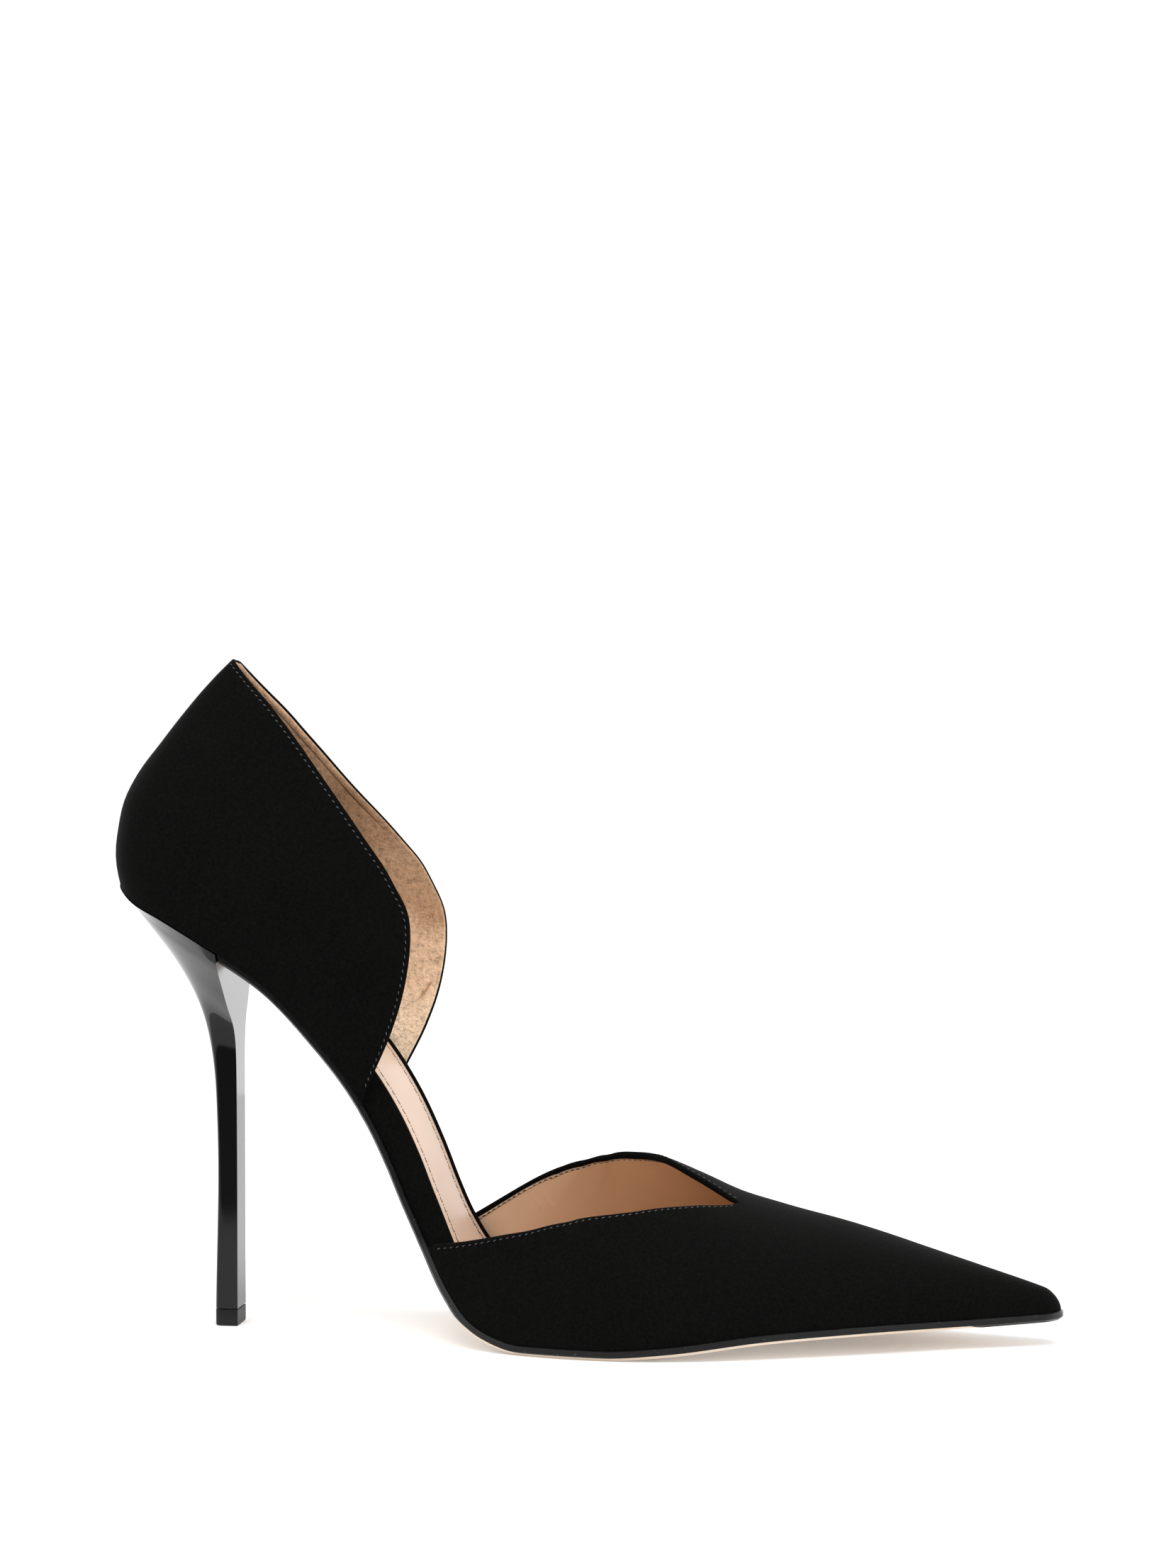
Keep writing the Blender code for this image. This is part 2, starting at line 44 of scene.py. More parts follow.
# The last's sizes, in metres, as the solids have them
SHOE_REACH = 0.2275
HEEL_HEIGHT = 0.1081
SEAT_SETBACK = 0.0260
TOE_SPRING = 0.0058
BALL_WIDTH = 0.0730
WAIST_WIDTH = 0.0360
SEAT_WIDTH = 0.0460
INSTEP_HEIGHT = 0.0460
BACK_HEIGHT = 0.0539
COLLAR_WIDTH = 0.0500
UPPER_WALL = 0.0017
SOLE = 0.0024
EDGE_STEP = 0.0004
BOARD = 0.0060
BOARD_GAP = 0.0125
SOCK = 0.0007
SOCK_MARGIN = 0.0010
SEAT_LENGTH = 0.0312
TIP_DEPTH = 0.0057
TIP_WIDTH = 0.0088
TOP_PIECE = 0.0040
CLEARANCE = 0.0003
HEEL_ROUND = 0.100
TOE_ROUND = 0.014
THROAT = 0.726
THROAT_TURN = 0.82
SEAT_SQUARENESS = 2.2
SLOPE_STEP = 0.0005

# Sizes of the dressed surface, in metres
FOLD = 0.0013              # how far the vamp's suede turns in over its topline
SKIN = 0.0009              # thickness of the vamp's suede; its lining fills the rest of the wall
QUARTER_SKIN = 0.0007      # thickness of the quarter's suede, which doesn't fold over its topline
SKIN_GAP = 0.00004         # air between a suede and its lining
LINING_FACE = 0.00162      # depth of the vamp lining's face in the wall, a hair under the fold's
JOIN_LENGTH = 0.003        # the walls of both wings close to nothing over this length before the V
STITCH_INSET = 0.0011      # outer stitch row below a topline
LINING_INSET = 0.0006      # inner stitch row below the fold
RIM_ROLL = 0.0006          # radius of the rolled rim beside the sock
RIM_RISE = 0.0004          # middle of that roll above the board on the inner side
OUTER_RIM_RISE = -0.0003   # and on the outer side, where it lies level with the sock
SOCK_SINK = 0.0007         # how far the sock lies down inside the rim
LINING_DROP = 0.00022      # how far the quarter's lining stops below its suede
INNER_REACH = 0.0054       # how much further along the inner wing of the quarter ends
PAINT = 0.00008            # how far the sole's painted edge stands proud
FOLD_START = (0.0425, 0.0778)   # a short fold low in the quarter's lining, seen from the side: x and z
FOLD_END = (0.0474, 0.0830)
TAPE = 0.0012              # width of the tape under the quarter's topline, down to its crease
WRINKLES = (((0.0708, 0.0326), (0.0732, 0.0270)), ((0.0731, 0.0322), (0.0762, 0.0268)))
VAMP_PITCH = 0.0016        # length of one stitch and its gap, on each row
LINING_PITCH = 0.0015
QUARTER_PITCH = 0.00176
SOCK_PITCH = 0.00255

# Shares, powers and counts
EDGE_EASE = 0.035          # widths over which the waves of a table are smoothed
QUARTER_EASE = 0.05
HEEL_EASE = 0.09
TOE_HOLLOW = 3.2           # how many walls the hollow stops short of the toe, by the tip
LINING_SHARE = 0.988       # how far round the quarter its lining goes
STITCHED = 0.985           # and its stitches
TAPE_FORWARD = 0.62        # the tape under its topline fades out before this place
CROWDING = 1.8             # rows of a layer lie closer together toward the topline
ROWS = 48                  # rows from a topline down to the foot
TURNS = 9                  # columns round a rounded edge
FEET = {"outer": 0.0, "inner": 2.0}     # turn of the vamp at its foot on each side
# The rest of the fold, after its rounded edge: shares of its depth and of the wall
FOLD_STOPS = ((0.75, 1.0), (0.94, 1.0), (1.0, 0.92), (1.0, SKIN / UPPER_WALL))
MERGE = 0.000002           # points nearer than this are one, in metres
SHARP_ANGLE = math.radians(38)


def table(names, *rows):
    """A short table with a name for each column."""
    return dict(zip(names.split(), np.array(rows, dtype=float).T))


FEATHER = table(
    "along  forward  rise    spring",
    (0.000, 0.0000, 1.0000, 0.000),
    (0.024, 0.0262, 0.9620, 0.000),
    (0.054, 0.0604, 0.9287, 0.000),
    (0.111, 0.1221, 0.8519, 0.000),
    (0.171, 0.1781, 0.7633, 0.000),
    (0.222, 0.2214, 0.6648, 0.000),
    (0.270, 0.2578, 0.5663, 0.000),
    (0.312, 0.2840, 0.4737, 0.000),
    (0.353, 0.3055, 0.3772, 0.000),
    (0.392, 0.3243, 0.2817, 0.000),
    (0.431, 0.3453, 0.1881, 0.000),
    (0.469, 0.3698, 0.1014, 0.000),
    (0.496, 0.3925, 0.0453, 0.000),
    (0.532, 0.4325, 0.0059, 0.000),
    (0.580, 0.4905, 0.0000, 0.000),
    (0.625, 0.5444, 0.0000, 0.000),
    (0.676, 0.6055, 0.0000, 0.190),
    (0.753, 0.6980, 0.0000, 0.610),
    (0.836, 0.7987, 0.0000, 0.790),
    (0.938, 0.9212, 0.0000, 0.870),
    (1.000, 1.0000, 0.0000, 1.000),
)
OUTLINE = table(
    "along  outer               inner",
    (0.000, 0.500 * SEAT_WIDTH, 0.500 * SEAT_WIDTH),
    (0.100, 0.500 * SEAT_WIDTH, 0.500 * SEAT_WIDTH),
    (0.171, 0.435 * SEAT_WIDTH, 0.435 * SEAT_WIDTH),
    (0.230, 0.545 * WAIST_WIDTH, 0.530 * WAIST_WIDTH),
    (0.300, 0.510 * WAIST_WIDTH, 0.500 * WAIST_WIDTH),
    (0.370, 0.500 * WAIST_WIDTH, 0.490 * WAIST_WIDTH),
    (0.431, 0.260 * BALL_WIDTH, 0.260 * BALL_WIDTH),
    (0.469, 0.322 * BALL_WIDTH, 0.330 * BALL_WIDTH),
    (0.515, 0.405 * BALL_WIDTH, 0.420 * BALL_WIDTH),
    (0.596, 0.493 * BALL_WIDTH, 0.493 * BALL_WIDTH),
    (0.651, 0.507 * BALL_WIDTH, 0.500 * BALL_WIDTH),
    (0.700, 0.486 * BALL_WIDTH, 0.500 * BALL_WIDTH),
    (0.753, 0.431 * BALL_WIDTH, 0.445 * BALL_WIDTH),
    (0.836, 0.308 * BALL_WIDTH, 0.308 * BALL_WIDTH),
    (0.938, 0.137 * BALL_WIDTH, 0.116 * BALL_WIDTH),
    (1.000, 0.052 * BALL_WIDTH, 0.045 * BALL_WIDTH),
)
VAMP = table(
    "along  lean  height             ridge              squareness",
    (0.431, 50, 0.950 * INSTEP_HEIGHT, 0.03 * BALL_WIDTH, 2.2),
    (0.469, 42, 0.980 * INSTEP_HEIGHT, 0.04 * BALL_WIDTH, 2.2),
    (0.532, 25, 1.000 * INSTEP_HEIGHT, 0.05 * BALL_WIDTH, 2.1),
    (0.596, 12, 0.930 * INSTEP_HEIGHT, 0.06 * BALL_WIDTH, 2.0),
    (0.651, 4, 0.843 * INSTEP_HEIGHT, 0.06 * BALL_WIDTH, 1.9),
    (0.688, 1, 0.750 * INSTEP_HEIGHT, 0.06 * BALL_WIDTH, 1.8),
    (0.726, 0, 0.630 * INSTEP_HEIGHT, 0.06 * BALL_WIDTH, 1.8),
    (0.763, 0, 0.546 * INSTEP_HEIGHT, 0.06 * BALL_WIDTH, 1.8),
    (0.819, 0, 0.450 * INSTEP_HEIGHT, 0.05 * BALL_WIDTH, 1.8),
    (0.875, 0, 0.345 * INSTEP_HEIGHT, 0.04 * BALL_WIDTH, 1.9),
    (0.931, 0, 0.240 * INSTEP_HEIGHT, 0.02 * BALL_WIDTH, 2.0),
    (0.969, 0, 0.158 * INSTEP_HEIGHT, 0.01 * BALL_WIDTH, 2.1),
    (1.000, 0, 0.084 * INSTEP_HEIGHT, 0.00 * BALL_WIDTH, 2.2),
)
THROAT_EDGE = table(
    "along  outer  inner",
    (0.431, 0.018, 1.984),
    (0.450, 0.128, 1.627),
    (0.469, 0.242, 1.458),
    (0.500, 0.378, 1.318),
    (0.532, 0.443, 1.275),
    (0.565, 0.478, 1.246),
    (0.596, 0.510, 1.206),
    (0.625, 0.548, 1.120),
    (0.651, 0.593, 0.995),
    (0.670, 0.633, 0.945),
    (0.688, 0.675, 0.910),
    (0.712, 0.753, 0.858),
    (THROAT, THROAT_TURN, THROAT_TURN),
)
QUARTER = table(
    "place  along   ahead                up                   width                  swell  drop",
    (-0.10, 0.0145, 0.470 * BACK_HEIGHT, 1.043 * BACK_HEIGHT, -0.120 * COLLAR_WIDTH, 0.93, 0.026),
    (0.00, 0.0000, 0.520 * BACK_HEIGHT, 1.000 * BACK_HEIGHT, 0.000 * COLLAR_WIDTH, 1.00, 0.000),
    (0.10, 0.0145, 0.470 * BACK_HEIGHT, 1.043 * BACK_HEIGHT, 0.120 * COLLAR_WIDTH, 0.93, 0.026),
    (0.20, 0.0330, 0.496 * BACK_HEIGHT, 0.979 * BACK_HEIGHT, 0.220 * COLLAR_WIDTH, 0.72, 0.050),
    (0.35, 0.0700, 0.470 * BACK_HEIGHT, 0.905 * BACK_HEIGHT, 0.310 * COLLAR_WIDTH, 0.38, 0.083),
    (0.50, 0.1200, 0.442 * BACK_HEIGHT, 0.794 * BACK_HEIGHT, 0.390 * COLLAR_WIDTH, 0.28, 0.084),
    (0.65, 0.1700, 0.446 * BACK_HEIGHT, 0.675 * BACK_HEIGHT, 0.460 * COLLAR_WIDTH, 0.22, 0.045),
    (0.78, 0.2150, 0.417 * BACK_HEIGHT, 0.649 * BACK_HEIGHT, 0.500 * COLLAR_WIDTH, 0.19, 0.045),
    (0.87, 0.2500, 0.378 * BACK_HEIGHT, 0.580 * BACK_HEIGHT, 0.505 * COLLAR_WIDTH, 0.15, 0.105),
    (0.94, 0.2750, 0.240 * BACK_HEIGHT, 0.328 * BACK_HEIGHT, 0.460 * COLLAR_WIDTH, 0.10, 0.140),
    (1.00, 0.2950, 0.032 * BACK_HEIGHT, 0.070 * BACK_HEIGHT, 0.380 * COLLAR_WIDTH, 0.00, 0.140),
)
COUNTER = table(
    "height  swell",
    (0.000, 0.000 * BACK_HEIGHT),
    (0.065, 0.049 * BACK_HEIGHT),
    (0.130, 0.089 * BACK_HEIGHT),
    (0.250, 0.139 * BACK_HEIGHT),
    (0.380, 0.175 * BACK_HEIGHT),
    (0.500, 0.173 * BACK_HEIGHT),
    (0.630, 0.141 * BACK_HEIGHT),
    (0.750, 0.108 * BACK_HEIGHT),
    (0.880, 0.062 * BACK_HEIGHT),
    (0.940, 0.034 * BACK_HEIGHT),
    (1.000, 0.000 * BACK_HEIGHT),
)
HEEL = table(
    "drop    slant  back   front  width  squareness",
    (0.0000, 1.000, 1.000, 1.00, 1.000, 2.2),
    (0.0722, 0.852, 0.773, 1.14, 0.775, 2.2),
    (0.1214, 0.702, 0.597, 1.10, 0.610, 2.3),
    (0.1666, 0.616, 0.438, 0.90, 0.470, 2.4),
    (0.2033, 0.562, 0.339, 0.65, 0.362, 2.6),
    (0.2630, 0.335, 0.202, 0.45, 0.195, 3.0),
    (0.3140, 0.172, 0.116, 0.17, 0.094, 3.5),
    (0.3603, 0.082, 0.065, 0.10, 0.030, 4.5),
    (0.4258, 0.027, 0.015, 0.03, 0.010, 6.0),
    (0.5597, 0.000, -0.020, 0.00, 0.000, 8.0),
    (1.0000, 0.000, 0.000, 0.00, 0.000, 8.0),
)
LAYERS = table(
    "along  sole         board         inset",
    (0.000, 0.78 * SOLE, 0.50 * BOARD, 3.0 * EDGE_STEP),
    (0.120, 0.78 * SOLE, 0.60 * BOARD, 3.0 * EDGE_STEP),
    (0.250, 0.80 * SOLE, 1.00 * BOARD, 3.0 * EDGE_STEP),
    (0.400, 0.82 * SOLE, 1.00 * BOARD, 2.5 * EDGE_STEP),
    (0.470, 0.88 * SOLE, 0.80 * BOARD, 0.5 * EDGE_STEP),
    (0.560, 1.00 * SOLE, 0.45 * BOARD, -1.0 * EDGE_STEP),
    (0.700, 1.00 * SOLE, 0.42 * BOARD, -1.0 * EDGE_STEP),
    (0.900, 0.95 * SOLE, 0.30 * BOARD, -1.0 * EDGE_STEP),
    (1.000, 0.90 * SOLE, 0.25 * BOARD, -1.0 * EDGE_STEP),
)


def through(sections, column, at):
    """Read a column of a table at any place, on a smooth curve through its rows."""
    places = sections[next(iter(sections))]
    values = sections[column]
    slopes = np.gradient(values, places)
    row = np.clip(np.searchsorted(places, at) - 1, 0, len(places) - 2)
    span = places[row + 1] - places[row]
    t = np.clip((at - places[row]) / span, 0, 1)
    low = values[row] * (1 + 2 * t) + slopes[row] * span * t
    high = values[row + 1] * (3 - 2 * t) - slopes[row + 1] * span * (1 - t)
    return low * (1 - t) ** 2 + high * t ** 2


def eased(sections, column, at, width):
    """The same curve with its small waves smoothed out over a width, and its ends kept."""
    places = sections[next(iter(sections))]
    window = np.clip(np.minimum(at - places[0], places[-1] - at), 0, width)
    shares = np.linspace(-1, 1, 13)[1:-1]
    weights = 1 + np.cos(np.pi * shares)
    total = sum(w * through(sections, column, at + s * window) for s, w in zip(shares, weights))
    return total / weights.sum()


def feather(along):
    """The feather line, where upper meets sole, seen from the side: x and z."""
    x = SHOE_REACH * through(FEATHER, "forward", along) - SEAT_SETBACK
    rise = np.clip(through(FEATHER, "rise", along), 0, 1)
    spring = np.clip(through(FEATHER, "spring", along), 0, 1)
    return x, SOLE + rise * (HEEL_HEIGHT - SOLE) + spring * TOE_SPRING


def feather_length():
    """The length of the feather line, in metres."""
    x, z = feather(np.linspace(0, 1, 400))
    return np.hypot(np.diff(x), np.diff(z)).sum()


FEATHER_LENGTH = feather_length()
BREAST = SEAT_LENGTH / FEATHER_LENGTH
BOARD_END = 1 - BOARD_GAP / FEATHER_LENGTH


def lifted(along, lift):
    """A place on the feather line, or straight on past its ends, raised square to it."""
    at = np.clip(along, 0, 1)
    x, z = feather(at)
    ahead_x, ahead_z = feather(np.clip(at + SLOPE_STEP, 0, 1))
    behind_x, behind_z = feather(np.clip(at - SLOPE_STEP, 0, 1))
    run = np.hypot(ahead_x - behind_x, ahead_z - behind_z)
    forward, up = (ahead_x - behind_x) / run, (ahead_z - behind_z) / run
    past = (along - at) * FEATHER_LENGTH
    return x + past * forward - lift * up, z + past * up + lift * forward


def toe_round(along):
    """The share of a full width or height left where the toe's tip rounds off."""
    return np.sqrt(1 - np.clip(1 - (1 - along) / TOE_ROUND, 0, 1) ** 2)


def half_width(along, side):
    """The outline's distance from the middle line, with a round back and toe."""
    back = np.clip(1 - along / HEEL_ROUND, 0, 1)
    heel_round = (1 - back ** SEAT_SQUARENESS) ** (1 / SEAT_SQUARENESS)
    return through(OUTLINE, side, along) * heel_round * toe_round(along)


def inward(along, side):
    """The direction square to the outline and into the shoe: its shares forward and across."""
    ahead = half_width(np.clip(along + SLOPE_STEP, 0, 1), side)
    behind = half_width(np.clip(along - SLOPE_STEP, 0, 1), side)
    slope = (ahead - behind) / (2 * SLOPE_STEP * FEATHER_LENGTH)
    across = 1 / np.hypot(1, slope)
    at_end = (along <= 0) | (along >= 1)
    forward = np.where(at_end, np.sign(0.5 - along), slope * across)
    return forward, np.where(at_end, 0, across)


def rim(along, side, inset=0.0, lift=0.0):
    """Points of the outline, moved in square to it and raised square to the feather line."""
    forward, across = inward(along, side)
    x, z = lifted(along + inset * forward / FEATHER_LENGTH, lift)
    y = np.maximum(half_width(along, side) - inset * across, 0)
    return np.stack([x, -y if side == "outer" else y, z], axis=-1)


def ring(places, inset, lift):
    """One turn round the outline: forward on the outer side and back on the inner one."""
    return np.vstack([rim(places, "outer", inset, lift), rim(places, "inner", inset, lift)[::-1]])


def rounded(squareness, count):
    """A quarter turn from the middle of an end to a side: shares along and across."""
    turn = np.linspace(0, np.pi / 2, count)
    along = 1 - np.clip(np.cos(turn), 0, 1) ** (2 / squareness)
    return along, np.sin(turn) ** (2 / squareness)


def shoe_places(start, end, count):
    """Places from start to end, closer together round the back of the seat and the toe."""
    seat = HEEL_ROUND * rounded(SEAT_SQUARENESS, 40)[0]
    toe = 1 - TOE_ROUND * rounded(2, 16)[0][::-1]
    places = np.concatenate([seat, np.linspace(HEEL_ROUND, 1 - TOE_ROUND, count)[1:-1], toe])
    inside = places[(places > start + SLOPE_STEP) & (places < end - SLOPE_STEP)]
    return np.concatenate([[start], inside, [end]])


def sole_at(along):
    """The sole's thickness."""
    return np.minimum(through(LAYERS, "sole", along), SOLE)


def vamp_point(along, turn, wall):
    """A point over the forefoot, wall metres in from the outer skin."""
    x, z = feather(along)
    height = np.maximum(through(VAMP, "height", along) * toe_round(along) - wall, 0)
    ridge = through(VAMP, "ridge", along) * toe_round(along)
    outer = np.maximum(half_width(along, "outer") - wall, 0)
    inner = np.maximum(half_width(along, "inner") - wall, 0)
    angle = np.pi / 2 * np.minimum(turn, 2 - turn)
    power = 2 / through(VAMP, "squareness", along)
    across = np.clip(np.cos(angle), 0, 1) ** power
    up = height * np.clip(np.sin(angle), 0, 1) ** power
    lean = np.radians(through(VAMP, "lean", along))
    y = ridge + np.where(turn < 1, -outer - ridge, inner - ridge) * across
    return np.stack(np.broadcast_arrays(x + up * np.sin(lean), y, z + up * np.cos(lean)), axis=-1)


def quarter_skin(place, up):
    """A point on the quarter's outer skin: place -1 to 1 round the back, up 0 to 1."""
    away = np.abs(place)
    side = np.where(place < 0, -1, 1)
    along = np.maximum(eased(QUARTER, "along", away, QUARTER_EASE), 0)
    along = along + INNER_REACH * np.clip((place - 0.87) / 0.13, 0, 1)
    x, z = feather(along)
    width = np.where(place < 0, half_width(along, "outer"), half_width(along, "inner"))
    forward, across = inward(along, "outer")
    swell = eased(QUARTER, "swell", away, QUARTER_EASE) * through(COUNTER, "swell", up)
    top_width = eased(QUARTER, "width", away, QUARTER_EASE)
    cut = np.where(place < 0, 1, 1 - eased(QUARTER, "drop", away, QUARTER_EASE))
    x = x + up * eased(QUARTER, "ahead", away, QUARTER_EASE) - swell * forward
    y = side * (width + up * (top_width - width) + swell * across)
    z = z + up * cut * eased(QUARTER, "up", away, QUARTER_EASE)
    return np.stack(np.broadcast_arrays(x, y, z), axis=-1)


def quarter_point(place, up, wall):
    """A point of the quarter, wall metres in from the outer skin."""
    step = 0.004
    around = quarter_skin(place + step, up) - quarter_skin(place - step, up)
    upward = quarter_skin(place, up + step) - quarter_skin(place, up - step)
    normal = np.cross(around, upward)
    normal /= np.linalg.norm(normal, axis=-1, keepdims=True)
    return quarter_skin(place, up) + np.asarray(wall)[..., None] * normal


def make_piece(name, points, faces, material, stands_for=()):
    """A closed, smooth-shaded piece that rides on the shoe."""
    mesh = bpy.data.meshes.new(name)
    mesh.from_pydata([tuple(point) for point in points], [], faces)
    work = bmesh.new()
    work.from_mesh(mesh)
    bmesh.ops.remove_doubles(work, verts=work.verts, dist=MERGE)
    bmesh.ops.dissolve_degenerate(work, edges=work.edges, dist=MERGE)
    bmesh.ops.delete(work, geom=[v for v in work.verts if not v.link_faces], context="VERTS")
    bmesh.ops.recalc_face_normals(work, faces=work.faces)
    work.to_mesh(mesh)
    work.free()
    mesh.materials.append(material)
    mesh.shade_smooth()
    mesh.set_sharp_from_angle(angle=SHARP_ANGLE)
    piece = bpy.data.objects.new(name, mesh)
    bpy.context.scene.collection.objects.link(piece)
    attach(piece, "root")
    if stands_for:
        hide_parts(*stands_for)
    return piece


def loop_faces(rows, columns):
    """Quads of a tube: rows of points, each row a closed loop of columns."""
    faces = []
    for i in range(rows - 1):
        for j in range(columns):
            a = i * columns + j
            b = i * columns + (j + 1) % columns
            faces.append((a, b, b + columns, a + columns))
    return faces


def tube(sections, cap=True):
    """A closed solid from a row of equal closed loops."""
    rows, columns = sections.shape[:2]
    faces = loop_faces(rows, columns)
    if cap:
        faces.append(tuple(range(columns)))
        faces.append(tuple((rows - 1) * columns + j for j in reversed(range(columns))))
    return sections.reshape(-1, 3), faces


def stack(rings):
    """A closed solid from equal rings one on another, with a ladder across each end."""
    size = len(rings[0])
    top = (len(rings) - 1) * size
    faces = loop_faces(len(rings), size)
    for i in range(size // 2 - 1):
        rung = (i, size - 1 - i, size - 2 - i, i + 1)
        faces.append(rung)
        faces.append(tuple(top + v for v in reversed(rung)))
    return np.vstack(rings), faces


class Sheet:
    """One side of an upper: stations along it, each with its foot and its topline."""

    def __init__(self, point, stations, edge, foot):
        self.point = point
        self.stations = stations
        steps = np.linspace(0, 1, 120)
        across = edge[:, None] + (foot - edge[:, None]) * steps
        line = point(stations[:, None], across, np.zeros_like(across))
        length = np.linalg.norm(np.diff(line, axis=1), axis=-1)
        self.reach = np.concatenate([np.zeros((len(stations), 1)), np.cumsum(length, axis=1)], axis=1)
        self.across = across
        tangent = np.gradient(line[:, 0], axis=0)
        tangent /= np.linalg.norm(tangent, axis=-1, keepdims=True) + 1e-12
        down = line[:, 2] - line[:, 0]
        down /= np.linalg.norm(down, axis=-1, keepdims=True) + 1e-12
        slip = np.einsum("ij,ij->i", tangent, down)
        self.oblique = 1 / np.sqrt(np.clip(1 - slip ** 2, 0.04, 1))

    def at(self, depth, wall, share=None):
        """Points depth metres square below the topline; share spreads the rest to the foot."""
        total = self.reach[:, -1]
        run = np.minimum(depth * self.oblique, 0.96 * total)
        if share is not None:
            run = run + share * (total - run)
        across = np.array([np.interp(r, row, turn) for r, row, turn in zip(run, self.reach, self.across)])
        return self.point(self.stations, across, np.full(len(across), 1.0) * wall)


def suede_sections(sheet, merge, rows):
    """The folded suede: up its outer skin, over the topline and down inside by the fold."""
    columns = []
    radius = 0.5 * UPPER_WALL * merge
    for share in np.linspace(1, 0, rows)[:-1]:
        columns.append(sheet.at(radius, 0 * merge, share))
    for turn in np.linspace(0, np.pi, TURNS):
        columns.append(sheet.at(radius * (1 - np.sin(turn)), radius * (1 - np.cos(turn))))
    for depth, wall in FOLD_STOPS:
        inward_by = UPPER_WALL * wall * merge + SKIN * (1 - merge)
        columns.append(sheet.at(np.maximum(FOLD * depth * merge, radius), inward_by))
    for share in np.linspace(0, 1, rows // 3)[1:]:
        columns.append(sheet.at(np.maximum(FOLD * merge, radius), SKIN + 0 * merge, share))
    return np.stack(columns, axis=1)


def lining_sections(sheet, merge, rows, relief=None):
    """The vamp's lining: a thin skin inside the suede, its top edge tucked under the fold."""
    columns = []
    under = SKIN + SKIN_GAP + 0 * merge
    flush = LINING_FACE + 0 * merge
    top = (FOLD + 0.00012) * merge
    for share in np.linspace(1, 0, rows // 3)[:-1]:
        columns.append(sheet.at(top, under, share))
    columns.append(sheet.at(top, under))
    # A small round at the top of the lining's face, hidden by the fold
    columns.append(sheet.at(top, flush - 0.00020))
    columns.append(sheet.at(top + 0.00006 * merge, flush - 0.00006))
    columns.append(sheet.at(top + 0.0002 * merge, flush))
    for share in np.linspace(0, 1, rows)[1:]:
        columns.append(sheet.at(top + 0.0004 * merge, flush, share))
    sections = np.stack(columns, axis=1)
    if relief is not None:
        inner = slice(rows // 3 + 2, None)
        sections[:, inner, 1] += relief(sections[:, inner])
    return sections


def layer_sections(sheet, rows, low, high, drop=0.0, relief=None):
    """A plain layer between two depths of the wall, its rounded top edge drop below the topline."""
    columns = []
    radius = 0.5 * (high - low)
    flat = np.zeros(len(sheet.stations))
    for share in np.linspace(1, 0, rows)[:-1] ** CROWDING:
        columns.append(sheet.at(drop + radius + flat, low + flat, share))
    for turn in np.linspace(0, np.pi, TURNS):
        depth = drop + radius * (1 - np.sin(turn))
        columns.append(sheet.at(depth + flat, low + radius * (1 - np.cos(turn)) + flat))
    for share in np.linspace(0, 1, rows)[1:] ** CROWDING:
        spots = sheet.at(drop + radius + flat, high + flat, share)
        if relief is not None:
            proud = relief(sheet.stations, share * sheet.reach[:, -1], spots)
            spots = sheet.at(drop + radius + flat, high + flat + proud, share)
        columns.append(spots)
    return np.stack(columns, axis=1)


def vamp_wall(along, turn, wall):
    """The vamp's wall, its hollow held back from the toe tip."""
    share = np.clip((along - THROAT) / (1 - THROAT), 0, 1) ** 2
    held_back = TOE_HOLLOW * np.asarray(wall) * share / FEATHER_LENGTH
    return vamp_point(along - held_back, turn, wall)


def vamp_sheet(places, side):
    """One side of the vamp, from the throat's edge to its foot on the feather line."""
    return Sheet(vamp_wall, places, eased(THROAT_EDGE, side, places, EDGE_EASE), FEET[side])


def quarter_sheet(places):
    """The quarter, from its topline down to the feather line."""
    return Sheet(quarter_point, places, np.ones_like(places), 0.0)


def vamp_sections(build, rows, **options):
    """Both wings and the dome of one layer of the vamp, as grids that share their edges."""
    start = VAMP["along"][0]
    wings = start + (THROAT - start) * np.linspace(0, 1, 170) ** 1.15
    dome = np.linspace(THROAT, 1 - TOE_ROUND, 90)
    toe = 1 - TOE_ROUND * rounded(2, 16)[0][::-1]
    places = np.concatenate([dome, toe[1:]])
    near_point = np.clip((THROAT - wings) * FEATHER_LENGTH / JOIN_LENGTH, 0, 1)
    merge = near_point * (2 - near_point)
    solids = []
    skins = []
    for side in FEET:
        solids.append(build(vamp_sheet(wings, side), merge, rows, **options))
        skins.append(build(vamp_sheet(places, side), 0 * places, rows, **options))
    return solids, skins


def join_vamp(solids, skins, outside, inside):
    """One closed mesh: two wings as tubes, and the dome that joins them past the V."""
    points = []
    faces = []
    count = 0
    for solid in solids:
        part, quads = tube(solid, cap=False)
        quads.append(tuple(range(solid.shape[1])))
        points.append(part)
        faces += [tuple(v + count for v in quad) for quad in quads]
        count += len(part)
    left, right = skins
    loop = [left[:, outside], right[:, outside][:, ::-1], right[:, inside][:, ::-1], left[:, inside]]
    part, quads = tube(np.concatenate(loop, axis=1), cap=False)
    columns = sum(piece.shape[1] for piece in loop)
    last = len(part) - columns
    quads += [(last, last + j + 1, last + j) for j in range(1, columns - 1)]
    points.append(part)
    faces += [tuple(v + count for v in quad) for quad in quads]
    return np.vstack(points), faces


def bell(distance, height, width):
    """A rounded ridge: its height at a distance from its middle line."""
    return height * np.exp(-(distance / width) ** 2)


def off_line(spots, start, end):
    """How far points lie from a line seen from the side, to its left, and how much they are beside it."""
    start = np.array(start)
    run = np.array(end) - start
    length = np.hypot(*run)
    reach = spots[..., [0, 2]] - start
    along = reach @ run / length
    aside = (reach[..., 1] * run[0] - reach[..., 0] * run[1]) / length
    past = np.maximum(np.maximum(-along, along - length), 0)
    return aside, bell(past, 1, 0.0008) * (spots[..., 1] > 0)


